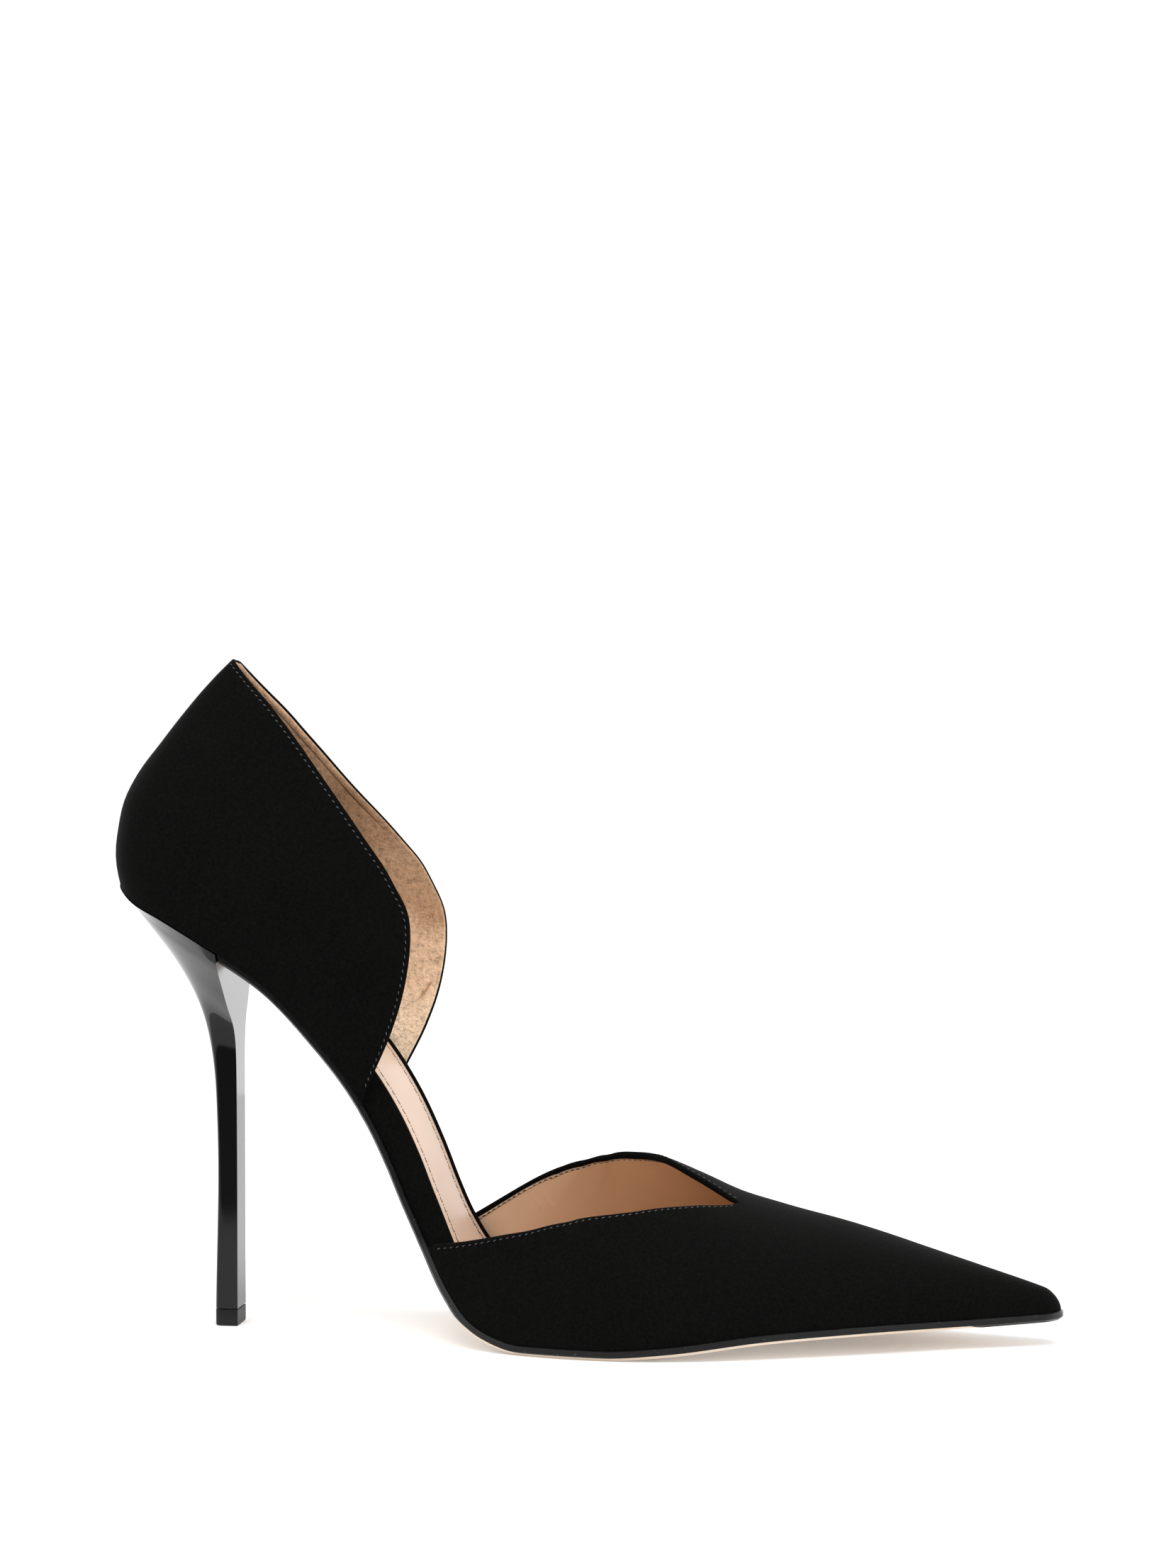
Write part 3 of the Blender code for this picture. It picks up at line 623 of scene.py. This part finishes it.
def lining_relief(spots):
    """Fine wrinkles near the back of the vamp's lining, on the inner side."""
    toward = 0
    for start, end in WRINKLES:
        aside, beside = off_line(spots, start, end)
        toward = toward + bell(aside, 0.00022, 0.00040) * beside
    return -toward


def quarter_relief(stations, depth, spots):
    """The tape under the topline stands proud above a fine crease; low on the inner side is a fold."""
    below = depth - TAPE
    raised = 0.00015 * np.clip(-below / 0.0003, 0, 1)
    crease = bell(below, 0.00050, 0.00024)
    shown = np.clip((TAPE_FORWARD - np.abs(stations)) / 0.10, 0, 1)
    aside, beside = off_line(spots, FOLD_START, FOLD_END)
    trough = bell(aside, 0.00070, 0.00028)
    lips = bell(np.abs(aside) - 0.00070, 0.00055, 0.00032)
    return (raised - crease) * shown + (lips - trough) * beside


def sole_level(even, inset, down):
    """A level of the sole, from the heel's breast round the toe and back."""
    x, z = feather(np.array([BREAST, BREAST + SLOPE_STEP]))
    slant = (z[0] - z[1]) / (x[1] - x[0])
    start = BREAST + (2 * CLEARANCE + slant * down * sole_at(BREAST)) / FEATHER_LENGTH
    places = 1 - (1 - even) * (1 - start) / (1 - BREAST)
    lift = np.minimum(-down * sole_at(places), -CLEARANCE)
    return ring(places, through(LAYERS, "inset", places) + inset, lift)


def painted_to(places):
    """How far down the edge the paint goes: over the bevel too at the waist and round the toe."""
    waist = np.clip((0.50 - places) / 0.02, 0, 1)
    toe = np.clip((places - 0.925) / 0.01, 0, 1)
    return np.maximum(waist, toe)


def heel_ring(drop, count):
    """A level of the heel: a round back and two sides that end at the flat breast."""
    breast_x, breast_z = lifted(BREAST, -CLEARANCE)
    bottom = TOP_PIECE + CLEARANCE
    reach = 0.5 * TIP_DEPTH
    back_x = -reach - eased(HEEL, "back", drop, HEEL_EASE) * (SEAT_SETBACK - reach)
    front_x = reach + eased(HEEL, "front", drop, HEEL_EASE) * (breast_x - reach)
    back_z = HEEL_HEIGHT - drop * (HEEL_HEIGHT - bottom)
    front_z = back_z - eased(HEEL, "slant", drop, HEEL_EASE) * (HEEL_HEIGHT - breast_z)
    width = 0.5 * TIP_WIDTH + 0.5 * eased(HEEL, "width", drop, HEEL_EASE) * (SEAT_WIDTH - TIP_WIDTH)
    along, across = rounded(eased(HEEL, "squareness", drop, HEEL_EASE), count)
    x = back_x + along * (front_x - back_x)
    z = back_z + along * (front_z - back_z)
    outer = np.stack([x, -width * across, z], axis=-1)
    inner = np.stack([x, width * across, z], axis=-1)
    return np.vstack([outer, inner[::-1]])


# Materials

def material(name, colour, roughness, **sockets):
    """A Principled material, with its constant values set on the shader's own sockets."""
    made = bpy.data.materials.new(name)
    made.use_nodes = True
    shader = made.node_tree.nodes["Principled BSDF"]
    shader.inputs["Base Color"].default_value = (*colour, 1)
    shader.inputs["Roughness"].default_value = roughness
    for socket, value in sockets.items():
        shader.inputs[socket.replace("_", " ")].default_value = value
    return made


def node(made, kind, **values):
    """A node with its inputs set by name; a value that is a socket is linked."""
    tree = made.node_tree
    new = tree.nodes.new(kind)
    for key, value in values.items():
        if key.startswith("set_"):
            setattr(new, key[4:], value)
            continue
        socket = new.inputs[int(key[3:])] if key.startswith("in_") else new.inputs[key]
        if isinstance(value, bpy.types.NodeSocket):
            tree.links.new(value, socket)
        else:
            socket.default_value = value
    return new


def place_of(made):
    """Object coordinates, in metres."""
    return node(made, "ShaderNodeTexCoord").outputs["Object"]


def noise(made, vector, scale, detail=3.0, rough=0.5):
    """A noise of about scale waves a metre."""
    new = node(made, "ShaderNodeTexNoise", Vector=vector, Scale=scale, Detail=detail, Roughness=rough)
    return new.outputs["Fac"]


def ramp(made, value, *stops):
    """A colour ramp: each stop is a place and a colour."""
    new = node(made, "ShaderNodeValToRGB", Fac=value)
    band = new.color_ramp
    while len(band.elements) < len(stops):
        band.elements.new(0.5)
    for element, (place, colour) in zip(band.elements, stops):
        element.position = place
        element.color = (*colour, 1) if len(colour) == 3 else colour
    return new.outputs["Color"]


def grey(level):
    """A neutral colour."""
    return (level, level, level)


def plug(made, socket, value):
    """Links a value to a socket of the shader."""
    made.node_tree.links.new(value, made.node_tree.nodes["Principled BSDF"].inputs[socket])


def bump(made, *layers):
    """Chained bumps: each layer is a height and its strength and depth in metres."""
    normal = None
    for height, strength, distance in layers:
        new = node(made, "ShaderNodeBump", Height=height, Strength=strength, Distance=distance)
        if normal is not None:
            made.node_tree.links.new(normal, new.inputs["Normal"])
        normal = new.outputs["Normal"]
    plug(made, "Normal", normal)


def black_suede():
    """The upper and the waist: deep black nap with a faint sheen."""
    made = material("black_suede", (0.0035, 0.0035, 0.0034), 0.95, Sheen_Weight=0.040,
                    Sheen_Roughness=0.36, Sheen_Tint=(0.62, 0.62, 0.62, 1), Specular_IOR_Level=0.04)
    where = place_of(made)
    cloud = noise(made, where, 45.0, 3.0, 0.5)
    nap = noise(made, where, 1400.0, 4.0, 0.7)
    fleck = noise(made, where, 5200.0, 2.0, 0.6)
    tone = node(made, "ShaderNodeMath", set_operation="MULTIPLY_ADD", in_0=cloud, in_1=0.35, in_2=nap)
    plug(made, "Base Color", ramp(made, tone.outputs[0], (0.45, (0.0013, 0.0013, 0.0012)),
                                  (0.95, (0.0046, 0.0046, 0.0043))))
    plug(made, "Roughness", ramp(made, cloud, (0.3, grey(0.88)), (0.7, grey(1.0))))
    bump(made, (nap, 0.35, 0.0002), (fleck, 0.25, 0.0001))
    return made


def axis_of(made, axis, low, high):
    """A place along one axis of the shoe, from 0 at low to 1 at high."""
    split = node(made, "ShaderNodeSeparateXYZ", Vector=place_of(made)).outputs[axis]
    span = {"From Min": low, "From Max": high}
    return node(made, "ShaderNodeMapRange", Value=split, **span).outputs["Result"]


def mixed(made, kind, share, one, two):
    """Two colours mixed by a blend mode."""
    new = node(made, "ShaderNodeMix", set_data_type="RGBA", set_blend_type=kind)
    for index, value in ((0, share), (6, one), (7, two)):
        if isinstance(value, bpy.types.NodeSocket):
            made.node_tree.links.new(value, new.inputs[index])
        else:
            new.inputs[index].default_value = value
    return new.outputs[2]


def tan_leather():
    """The vamp's lining: smooth tan calf with a fine grain, and painted shade that darkens it toward the
    toe.
    """
    made = material("tan_lining", (0.50, 0.32, 0.20), 0.50, Specular_IOR_Level=0.30)
    where = place_of(made)
    cloud = noise(made, where, 45.0, 4.0, 0.55)
    grain = node(made, "ShaderNodeTexVoronoi", Vector=where, Scale=2600.0).outputs["Distance"]
    # Painted shade: the lining darkens toward the toe, deeper inside the vamp
    forward = axis_of(made, "X", 0.055, 0.125)
    base = ramp(made, forward, (0.15, (0.90, 0.66, 0.46)), (0.50, (0.74, 0.46, 0.265)),
                (0.95, (0.56, 0.31, 0.15)))
    patch = ramp(made, cloud, (0.25, grey(0.86)), (0.75, grey(1.0)))
    plug(made, "Base Color", mixed(made, "MULTIPLY", 1.0, base, patch))
    plug(made, "Roughness", ramp(made, cloud, (0.3, grey(0.42)), (0.7, grey(0.58))))
    bump(made, (grain, 0.10, 0.00008), (noise(made, where, 300.0), 0.12, 0.0002))
    return made


def gold_suede():
    """The quarter's lining: tan suede with a coarse, crinkled nap, and painted light and shade by height.
    """
    made = material("gold_lining", (0.45, 0.28, 0.16), 0.80, Sheen_Weight=0.12,
                    Sheen_Roughness=0.5, Sheen_Tint=(1.0, 0.85, 0.7, 1), Specular_IOR_Level=0.30)
    where = place_of(made)
    cloud = noise(made, where, 90.0, 4.0, 0.6)
    crinkle = noise(made, where, 900.0, 5.0, 0.74)
    cells = node(made, "ShaderNodeTexVoronoi", Vector=where, Scale=1700.0).outputs["Distance"]
    height = axis_of(made, "Z", 0.065, 0.165)
    # Painted light and shade by height, broken up by a random cloud: pale low down, darkest high up, a
    # little lighter at the top
    height_light_and_cloud = node(made, "ShaderNodeMath", set_operation="MULTIPLY_ADD", in_0=cloud, in_1=0.30, in_2=height)
    base = ramp(made, height_light_and_cloud.outputs[0], (0.20, (0.95, 0.72, 0.51)), (0.36, (0.84, 0.58, 0.38)),
                (0.50, (0.49, 0.285, 0.155)), (0.62, (0.50, 0.305, 0.175)), (0.74, (0.36, 0.205, 0.110)),
                (0.98, (0.60, 0.385, 0.235)))
    # Painted highlight and shade on the nap: the crinkle that raises the bump also makes its crests lighter
    # and its hollows darker
    fleck = ramp(made, crinkle, (0.36, grey(0.62)), (0.49, grey(1.0)), (0.64, grey(1.2)))
    plug(made, "Base Color", mixed(made, "MULTIPLY", 1.0, base, fleck))
    bump(made, (crinkle, 1.0, 0.0009), (cells, 0.45, 0.0003))
    return made


def nude_leather():
    """The sock: pale pink-nude leather, satin."""
    made = material("nude_sock", (0.66, 0.50, 0.39), 0.45, Specular_IOR_Level=0.40)
    where = place_of(made)
    cloud = noise(made, where, 40.0, 3.0, 0.5)
    grain = node(made, "ShaderNodeTexVoronoi", Vector=where, Scale=2300.0).outputs["Distance"]
    plug(made, "Base Color", ramp(made, cloud, (0.3, (0.56, 0.385, 0.275)), (0.7, (0.61, 0.43, 0.315))))
    bump(made, (grain, 0.08, 0.00008))
    return made


def sole_leather():
    """The sole: pale smooth leather, a little shiny."""
    made = material("sole_leather", (0.60, 0.40, 0.26), 0.42, Specular_IOR_Level=0.45)
    where = place_of(made)
    cloud = noise(made, where, 30.0, 5.0, 0.6)
    fibre = noise(made, where, 700.0, 4.0, 0.7)
    plug(made, "Base Color", ramp(made, cloud, (0.3, (0.72, 0.58, 0.46)), (0.7, (0.80, 0.67, 0.54))))
    plug(made, "Roughness", ramp(made, fibre, (0.3, grey(0.34)), (0.7, grey(0.50))))
    bump(made, (fibre, 0.12, 0.0001))
    return made


def lacquer():
    """The heel: smooth black lacquer."""
    made = material("black_lacquer", (0.0030, 0.0030, 0.0032), 0.10, Specular_IOR_Level=0.62)
    where = place_of(made)
    film = noise(made, where, 90.0, 2.0, 0.5)
    plug(made, "Roughness", ramp(made, film, (0.3, grey(0.06)), (0.7, grey(0.12))))
    bump(made, (film, 0.02, 0.0003))
    return made


def edge_paint():
    """The sole's edge: black paint with a few pale scuffs."""
    made = material("edge_paint", (0.0045, 0.0045, 0.0045), 0.35, Specular_IOR_Level=0.45)
    where = place_of(made)
    brushed = noise(made, where, 500.0, 3.0, 0.6)
    scuffs = noise(made, where, 1300.0, 3.0, 0.6)
    plug(made, "Base Color", ramp(made, scuffs, (0.66, grey(0.0045)), (0.76, grey(0.10))))
    plug(made, "Roughness", ramp(made, brushed, (0.3, grey(0.28)), (0.7, grey(0.46))))
    bump(made, (brushed, 0.10, 0.0001))
    return made


def tip_rubber():
    """The block under the heel: dull black rubber."""
    made = material("tip_rubber", (0.003, 0.003, 0.003), 0.45, Specular_IOR_Level=0.30)
    where = place_of(made)
    grit = noise(made, where, 1500.0, 3.0, 0.6)
    plug(made, "Roughness", ramp(made, grit, (0.3, grey(0.38)), (0.7, grey(0.55))))
    bump(made, (grit, 0.15, 0.0001))
    return made


def thread(name, colour):
    """Thread of one colour, with a fine twist."""
    made = material(name, colour, 0.6, Specular_IOR_Level=0.3)
    where = place_of(made)
    twist = noise(made, where, 4000.0, 2.0, 0.5)
    bump(made, (twist, 0.3, 0.0001))
    dark = tuple(0.75 * c for c in colour)
    plug(made, "Base Color", ramp(made, twist, (0.3, dark), (0.7, colour)))
    return made


# Stitches

def resample(line, out, pitch, start=0.0):
    """Even steps along a line of points, with the line's outward direction at each."""
    run = np.concatenate([[0], np.cumsum(np.linalg.norm(np.diff(line, axis=0), axis=1))])
    at = np.arange(start + 0.5 * pitch, run[-1] - 0.5 * pitch, pitch)
    spots = np.stack([np.interp(at, run, line[:, i]) for i in range(3)], axis=1)
    ahead = np.stack([np.interp(at + 0.2 * pitch, run, line[:, i]) for i in range(3)], axis=1)
    outs = np.stack([np.interp(at, run, out[:, i]) for i in range(3)], axis=1)
    tangents = ahead - spots
    return spots, tangents / (np.linalg.norm(tangents, axis=1, keepdims=True) + 1e-12), outs


def bead(length, width, height, around=8, rows=5):
    """A stitch: a rounded bar along x that lies on the surface z = 0."""
    sections = []
    for i in range(rows + 1):
        share = -1 + 2 * i / rows
        size = max(math.sqrt(1 - min(abs(share), 1) ** 3), 0.12)
        angle = np.linspace(0, 2 * np.pi, around, endpoint=False)
        y = 0.5 * width * size * np.cos(angle)
        z = 0.5 * height * size * np.sin(angle) - 0.3 * height * abs(share) ** 3
        sections.append(np.stack([np.full(around, 0.5 * length * share), y, z], axis=1))
    return tube(np.array(sections))


def stitch_row(rows, length, width, height, skew=0.0):
    """Many beads as one mesh; skew turns each a little across the row."""
    shape, shape_faces = bead(length, width, height)
    points = []
    faces = []
    count = 0
    for spots, tangents, outs in rows:
        for spot, tangent, out in zip(spots, tangents, outs):
            out = out - tangent * np.dot(out, tangent)
            out /= np.linalg.norm(out) + 1e-12
            side = np.cross(out, tangent)
            along = tangent * math.cos(skew) + side * math.sin(skew)
            across = np.cross(out, along)
            points.append(spot + shape @ np.array([along, across, out]))
            faces += [tuple(v + count for v in face) for face in shape_faces]
            count += len(shape)
    return np.vstack(points), faces


def row_on(sheet, depth, wall, lift, inside=False):
    """A line on a sheet, depth below its topline, lifted off the outer or the inner side."""
    line = sheet.at(depth, wall)
    other = sheet.at(depth, wall + 0.0002)
    out = line - other
    out /= np.linalg.norm(out, axis=1, keepdims=True) + 1e-12
    if inside:
        out = -out
    return line + lift * out, out


# The pieces

suede = black_suede()
tan = tan_leather()
gold = gold_suede()
nude = nude_leather()
leather = sole_leather()
gloss = lacquer()
paint = edge_paint()
rubber = tip_rubber()
grey_thread = thread("grey_thread", (0.105, 0.110, 0.120))
nude_thread = thread("nude_thread", (0.80, 0.62, 0.48))
# Dark colour for painted shade: the shadow under stitches and at the needle holes
stitch_and_hole_shade = thread("painted_stitch_and_hole_shade", (0.05, 0.028, 0.016))

fold_end = ROWS - 1 + TURNS + len(FOLD_STOPS) - 1
solids, skins = vamp_sections(suede_sections, ROWS)
points, faces = join_vamp(solids, skins, slice(0, ROWS), slice(fold_end, None))
make_piece("vamp_suede", points, faces, suede, ("upper_vamp",))

reach = np.sin(np.linspace(0, np.pi / 2, 130)) ** 1.2
around_back = np.concatenate([-reach[:0:-1], reach])
points, faces = tube(layer_sections(quarter_sheet(around_back), ROWS, 0, QUARTER_SKIN))
make_piece("quarter_suede", points, faces, suede, ("upper_quarter",))

hidden = 2 * ROWS // 3
solids, skins = vamp_sections(lining_sections, 2 * ROWS, relief=lining_relief)
points, faces = join_vamp(solids, skins, slice(0, hidden), slice(hidden + 2, None))
make_piece("vamp_lining", points, faces, tan)

lined = quarter_sheet(LINING_SHARE * around_back)
points, faces = tube(layer_sections(lined, 3 * ROWS, QUARTER_SKIN + SKIN_GAP, UPPER_WALL, LINING_DROP,
                                    quarter_relief))
make_piece("quarter_lining", points, faces, gold)

places = shoe_places(0, BOARD_END, 170)
top = through(LAYERS, "board", places)
inset = UPPER_WALL + CLEARANCE
levels = [ring(places, inset, 0 * top)]
levels.append(ring(places, inset + 0.5 * CLEARANCE, 0.5 * top))
levels.append(ring(places, inset + CLEARANCE, top + OUTER_RIM_RISE))
centre = inset + CLEARANCE + RIM_ROLL
for turn in np.linspace(0, np.pi, 11):
    aside = centre - RIM_ROLL * np.cos(turn)
    lift = top + RIM_ROLL * np.sin(turn)
    outer = rim(places, "outer", aside, lift + OUTER_RIM_RISE)
    inner = rim(places, "inner", aside, lift + RIM_RISE)
    levels.append(np.vstack([outer, inner[::-1]]))
levels.append(ring(places, centre + RIM_ROLL, top - SOCK_SINK - 0.0002))
points, faces = stack(levels)
make_piece("waist_wrap", points, faces, suede, ("insole_board",))

places = shoe_places(0, BOARD_END - SOCK_MARGIN / FEATHER_LENGTH, 170)
inset = UPPER_WALL + 2 * CLEARANCE + 2 * RIM_ROLL
under = through(LAYERS, "board", places) + 0.1 * CLEARANCE - SOCK_SINK
levels = [ring(places, inset, under)]
for turn in np.linspace(0, np.pi / 2, 5):
    levels.append(ring(places, inset + 0.6 * SOCK * (1 - np.cos(turn)),
                       under + 0.9 * CLEARANCE + SOCK * (0.4 + 0.6 * np.sin(turn))))
points, faces = stack(levels)
make_piece("sock", points, faces, nude, ("sock_lining",))

even = shoe_places(BREAST, 1, 180)
bevel = 1.2 * EDGE_STEP
levels = [sole_level(even, 0, down) for down in (0.12, 0.30, 0.48, 0.66)]
levels.append(sole_level(even, EDGE_STEP, 0.66))
levels.append(sole_level(even, EDGE_STEP + 0.5 * bevel, 0.83))
levels.append(sole_level(even, EDGE_STEP + bevel, 1.0))
points, faces = stack(levels)
make_piece("sole", points, faces, leather, ("outsole",))

covered = painted_to(even)
covered = np.concatenate([covered, covered[::-1]])[:, None]
band = []
# Round the band of paint: how far in and down, a rise, and what is added where it covers the bevel
for inset, down, rise, bevel_inset, bevel_down in (
        (0.0020, 0.04, 0.00020, 0, 0), (0.0002, 0.04, 0.00022, 0, 0), (-PAINT, 0.04, 0.00012, 0, 0),
        (-1.2 * PAINT, 0.30, 0, 0, 0), (-1.2 * PAINT, 0.55, 0, 0, 0), (-PAINT, 0.70, 0, 0, 0),
        (EDGE_STEP - PAINT, 0.71, 0, bevel, 0.30), (EDGE_STEP + 0.0016, 0.71, 0, bevel, 0.29),
        (0.0020, 0.30, 0, 0, 0)):
    plain = sole_level(even, inset, down) + [0, 0, rise]
    lower = sole_level(even, inset + bevel_inset, min(down + bevel_down, 1.0)) + [0, 0, rise]
    lower = lower - [0, 0, 0.00004 * (bevel_down > 0)]
    band.append(plain + covered * (lower - plain))
points, faces = tube(np.stack(band, axis=1))
make_piece("sole_paint", points, faces, paint)

count = 30
seat = np.append(HEEL_ROUND * rounded(SEAT_SQUARENESS, count)[0][:-1], BREAST)
neck = 0.41
drops = np.concatenate([np.linspace(0.03, neck, 60), np.linspace(neck, 1.0, 30)[1:]])
points, faces = stack([ring(seat, 0, -CLEARANCE)] + [heel_ring(drop, count) for drop in drops])
make_piece("heel_lacquer", points, faces, gloss, ("heel",))

tip = heel_ring(1.0, count)
levels = []
for z, shrink in ((0, 0.94), (0.0003, 0.985), (0.0008, 1.0), (TOP_PIECE, 1.0)):
    level = tip * [shrink, shrink, 1]
    level[:, 2] = z
    levels.append(level)
points, faces = stack(levels)
make_piece("heel_tip", points, faces, rubber, ("top_piece",))


# Stitches, and painted shade at their grooves and needle holes

start = VAMP["along"][0]
wing_places = np.linspace(start + 0.004, THROAT - 0.002, 400)
outer_rows = []
fold_rows = []
hole_rows = []
for side in FEET:
    wing = vamp_sheet(wing_places, side)
    line, out = row_on(wing, STITCH_INSET, 0.0, 0.00002)
    outer_rows.append(resample(line, out, VAMP_PITCH))
    line, out = row_on(wing, FOLD + LINING_INSET, LINING_FACE, 0.00003, inside=True)
    fold_rows.append(resample(line, out, LINING_PITCH))
    hole_rows.append(resample(line, out, LINING_PITCH, start=0.5 * LINING_PITCH))

line, out = row_on(quarter_sheet(np.linspace(-STITCHED, STITCHED, 700)), STITCH_INSET, 0.0, 0.00002)
cup_rows = [resample(line, out, QUARTER_PITCH)]

sock_rows = []
sock_holes = []
places = np.linspace(0.16, 0.80, 500)
inset = UPPER_WALL + 2 * CLEARANCE + SOCK_MARGIN + 0.0035
lift = through(LAYERS, "board", places) + CLEARANCE + SOCK - SOCK_SINK
for side in FEET:
    line = rim(places, side, inset, lift)
    out = rim(places, side, inset, lift + 0.001) - line
    out /= np.linalg.norm(out, axis=1, keepdims=True)
    sock_rows.append(resample(line, out, SOCK_PITCH))
    sock_holes.append(resample(line + 0.00002 * out, out, SOCK_PITCH, start=0.00128))

# Dark beads of painted shade lie under the stitches and on the needle holes
# A stitch's or a hole's length, width and height in metres, and its turn across the row
for name, rows, made, node_slot, size, skew in (
        ("vamp_stitches", outer_rows, grey_thread, "suede", (0.00080, 0.00017, 0.00014), 0.30),
        ("quarter_stitches", cup_rows, grey_thread, "suede", (0.00090, 0.00017, 0.00014), 0.30),
        ("lining_stitches", fold_rows, nude_thread, "sock", (0.00100, 0.00028, 0.00034), 0.10),
        ("lining_stitch_shadow", fold_rows, stitch_and_hole_shade, "sock", (0.00150, 0.00050, 0.00014), 0.10),
        ("sock_stitches", sock_rows, nude_thread, "sock", (0.00150, 0.00050, 0.00046), 0.16),
        ("sock_stitch_shadow", sock_rows, stitch_and_hole_shade, "sock", (0.00190, 0.00110, 0.00024), 0.16),
        ("needle_hole_shade", hole_rows + sock_holes, stitch_and_hole_shade, "sock", (0.00045, 0.00045, 0.00024), 0.0)):
    points, faces = stitch_row(rows, *size, skew)
    make_piece(name, points, faces, made)


# Floor, light and camera

def stage_plane(name, low, high, made):
    """A flat rectangle between two opposite corners, level or upright."""
    corners = [low, (high[0], low[1], low[2]), high, (low[0], high[1], high[2])]
    mesh = bpy.data.meshes.new(name)
    mesh.from_pydata(corners, [], [(0, 1, 2, 3)])
    mesh.materials.append(made)
    plane = bpy.data.objects.new(name, mesh)
    bpy.context.scene.collection.objects.link(plane)
    return plane


def area_light(name, place, aim, size, power):
    """A rectangular lamp turned to a point."""
    light = bpy.data.lights.new(name, "AREA")
    light.shape = "RECTANGLE"
    light.size, light.size_y = size
    light.energy = power
    lamp = bpy.data.objects.new(name, light)
    lamp.location = place
    lamp.rotation_euler = (Vector(place) - Vector(aim)).to_track_quat("Z", "Y").to_euler()
    bpy.context.scene.collection.objects.link(lamp)


white = (1, 1, 1, 1)
span = 6.0
floor = material("floor", grey(0.88), 0.9, Emission_Color=white, Emission_Strength=0.14)
stage_plane("floor", (-span, -span, 0), (span, span, 0), floor)

# Cards that only reflections see, black or glowing white: they shape the heel's reflections
near = -0.17
front = -1.7
for name, low, high, glow in (
        ("front_card", (-1.2, front, 0), (1.2, front, 0.45), 0),
        ("near_card", (-1.2, near, 0.001), (1.2, -0.012, 0.001), 0.55),
        ("back_card", (-0.05, 0.45, 0.001), (1.0, 0.45, 0.9), 1.9),
        ("table_card", (-1.2, front, 0.001), (1.2, near, 0.001), 0)):
    made = material(name, grey(0 if glow else 0.002), 1.0, Emission_Color=white, Emission_Strength=glow)
    plane = stage_plane(name, low, high, made)
    plane.visible_camera = False
    plane.visible_diffuse = False
    plane.visible_shadow = False

scene = bpy.context.scene
world = bpy.data.worlds.new("studio")
world.use_nodes = True
world.node_tree.nodes["Background"].inputs["Color"].default_value = white
world.node_tree.nodes["Background"].inputs["Strength"].default_value = 1.0
scene.world = world
scene.view_settings.view_transform = "Standard"
area_light("key", place=(0.2, -0.5, 1.3), aim=(0.09, 0, 0.05), size=(1.2, 0.8), power=14)

EYE = Vector((0.21678, -0.92284, 0.16985))
AZIMUTH = math.radians(7.93)
ELEVATION = math.radians(2.31)
LENS = 89.26
SENSOR = 36
flat = math.cos(ELEVATION)
backward = Vector((math.sin(AZIMUTH) * flat, -math.cos(AZIMUTH) * flat, math.sin(ELEVATION)))
camera_data = bpy.data.cameras.new("camera")
camera_data.lens = LENS
camera_data.sensor_width = SENSOR
camera_data.clip_start = 0.05
camera = bpy.data.objects.new("camera", camera_data)
camera.location = EYE
camera.rotation_euler = (-backward).to_track_quat("-Z", "Y").to_euler()
scene.collection.objects.link(camera)
scene.camera = camera
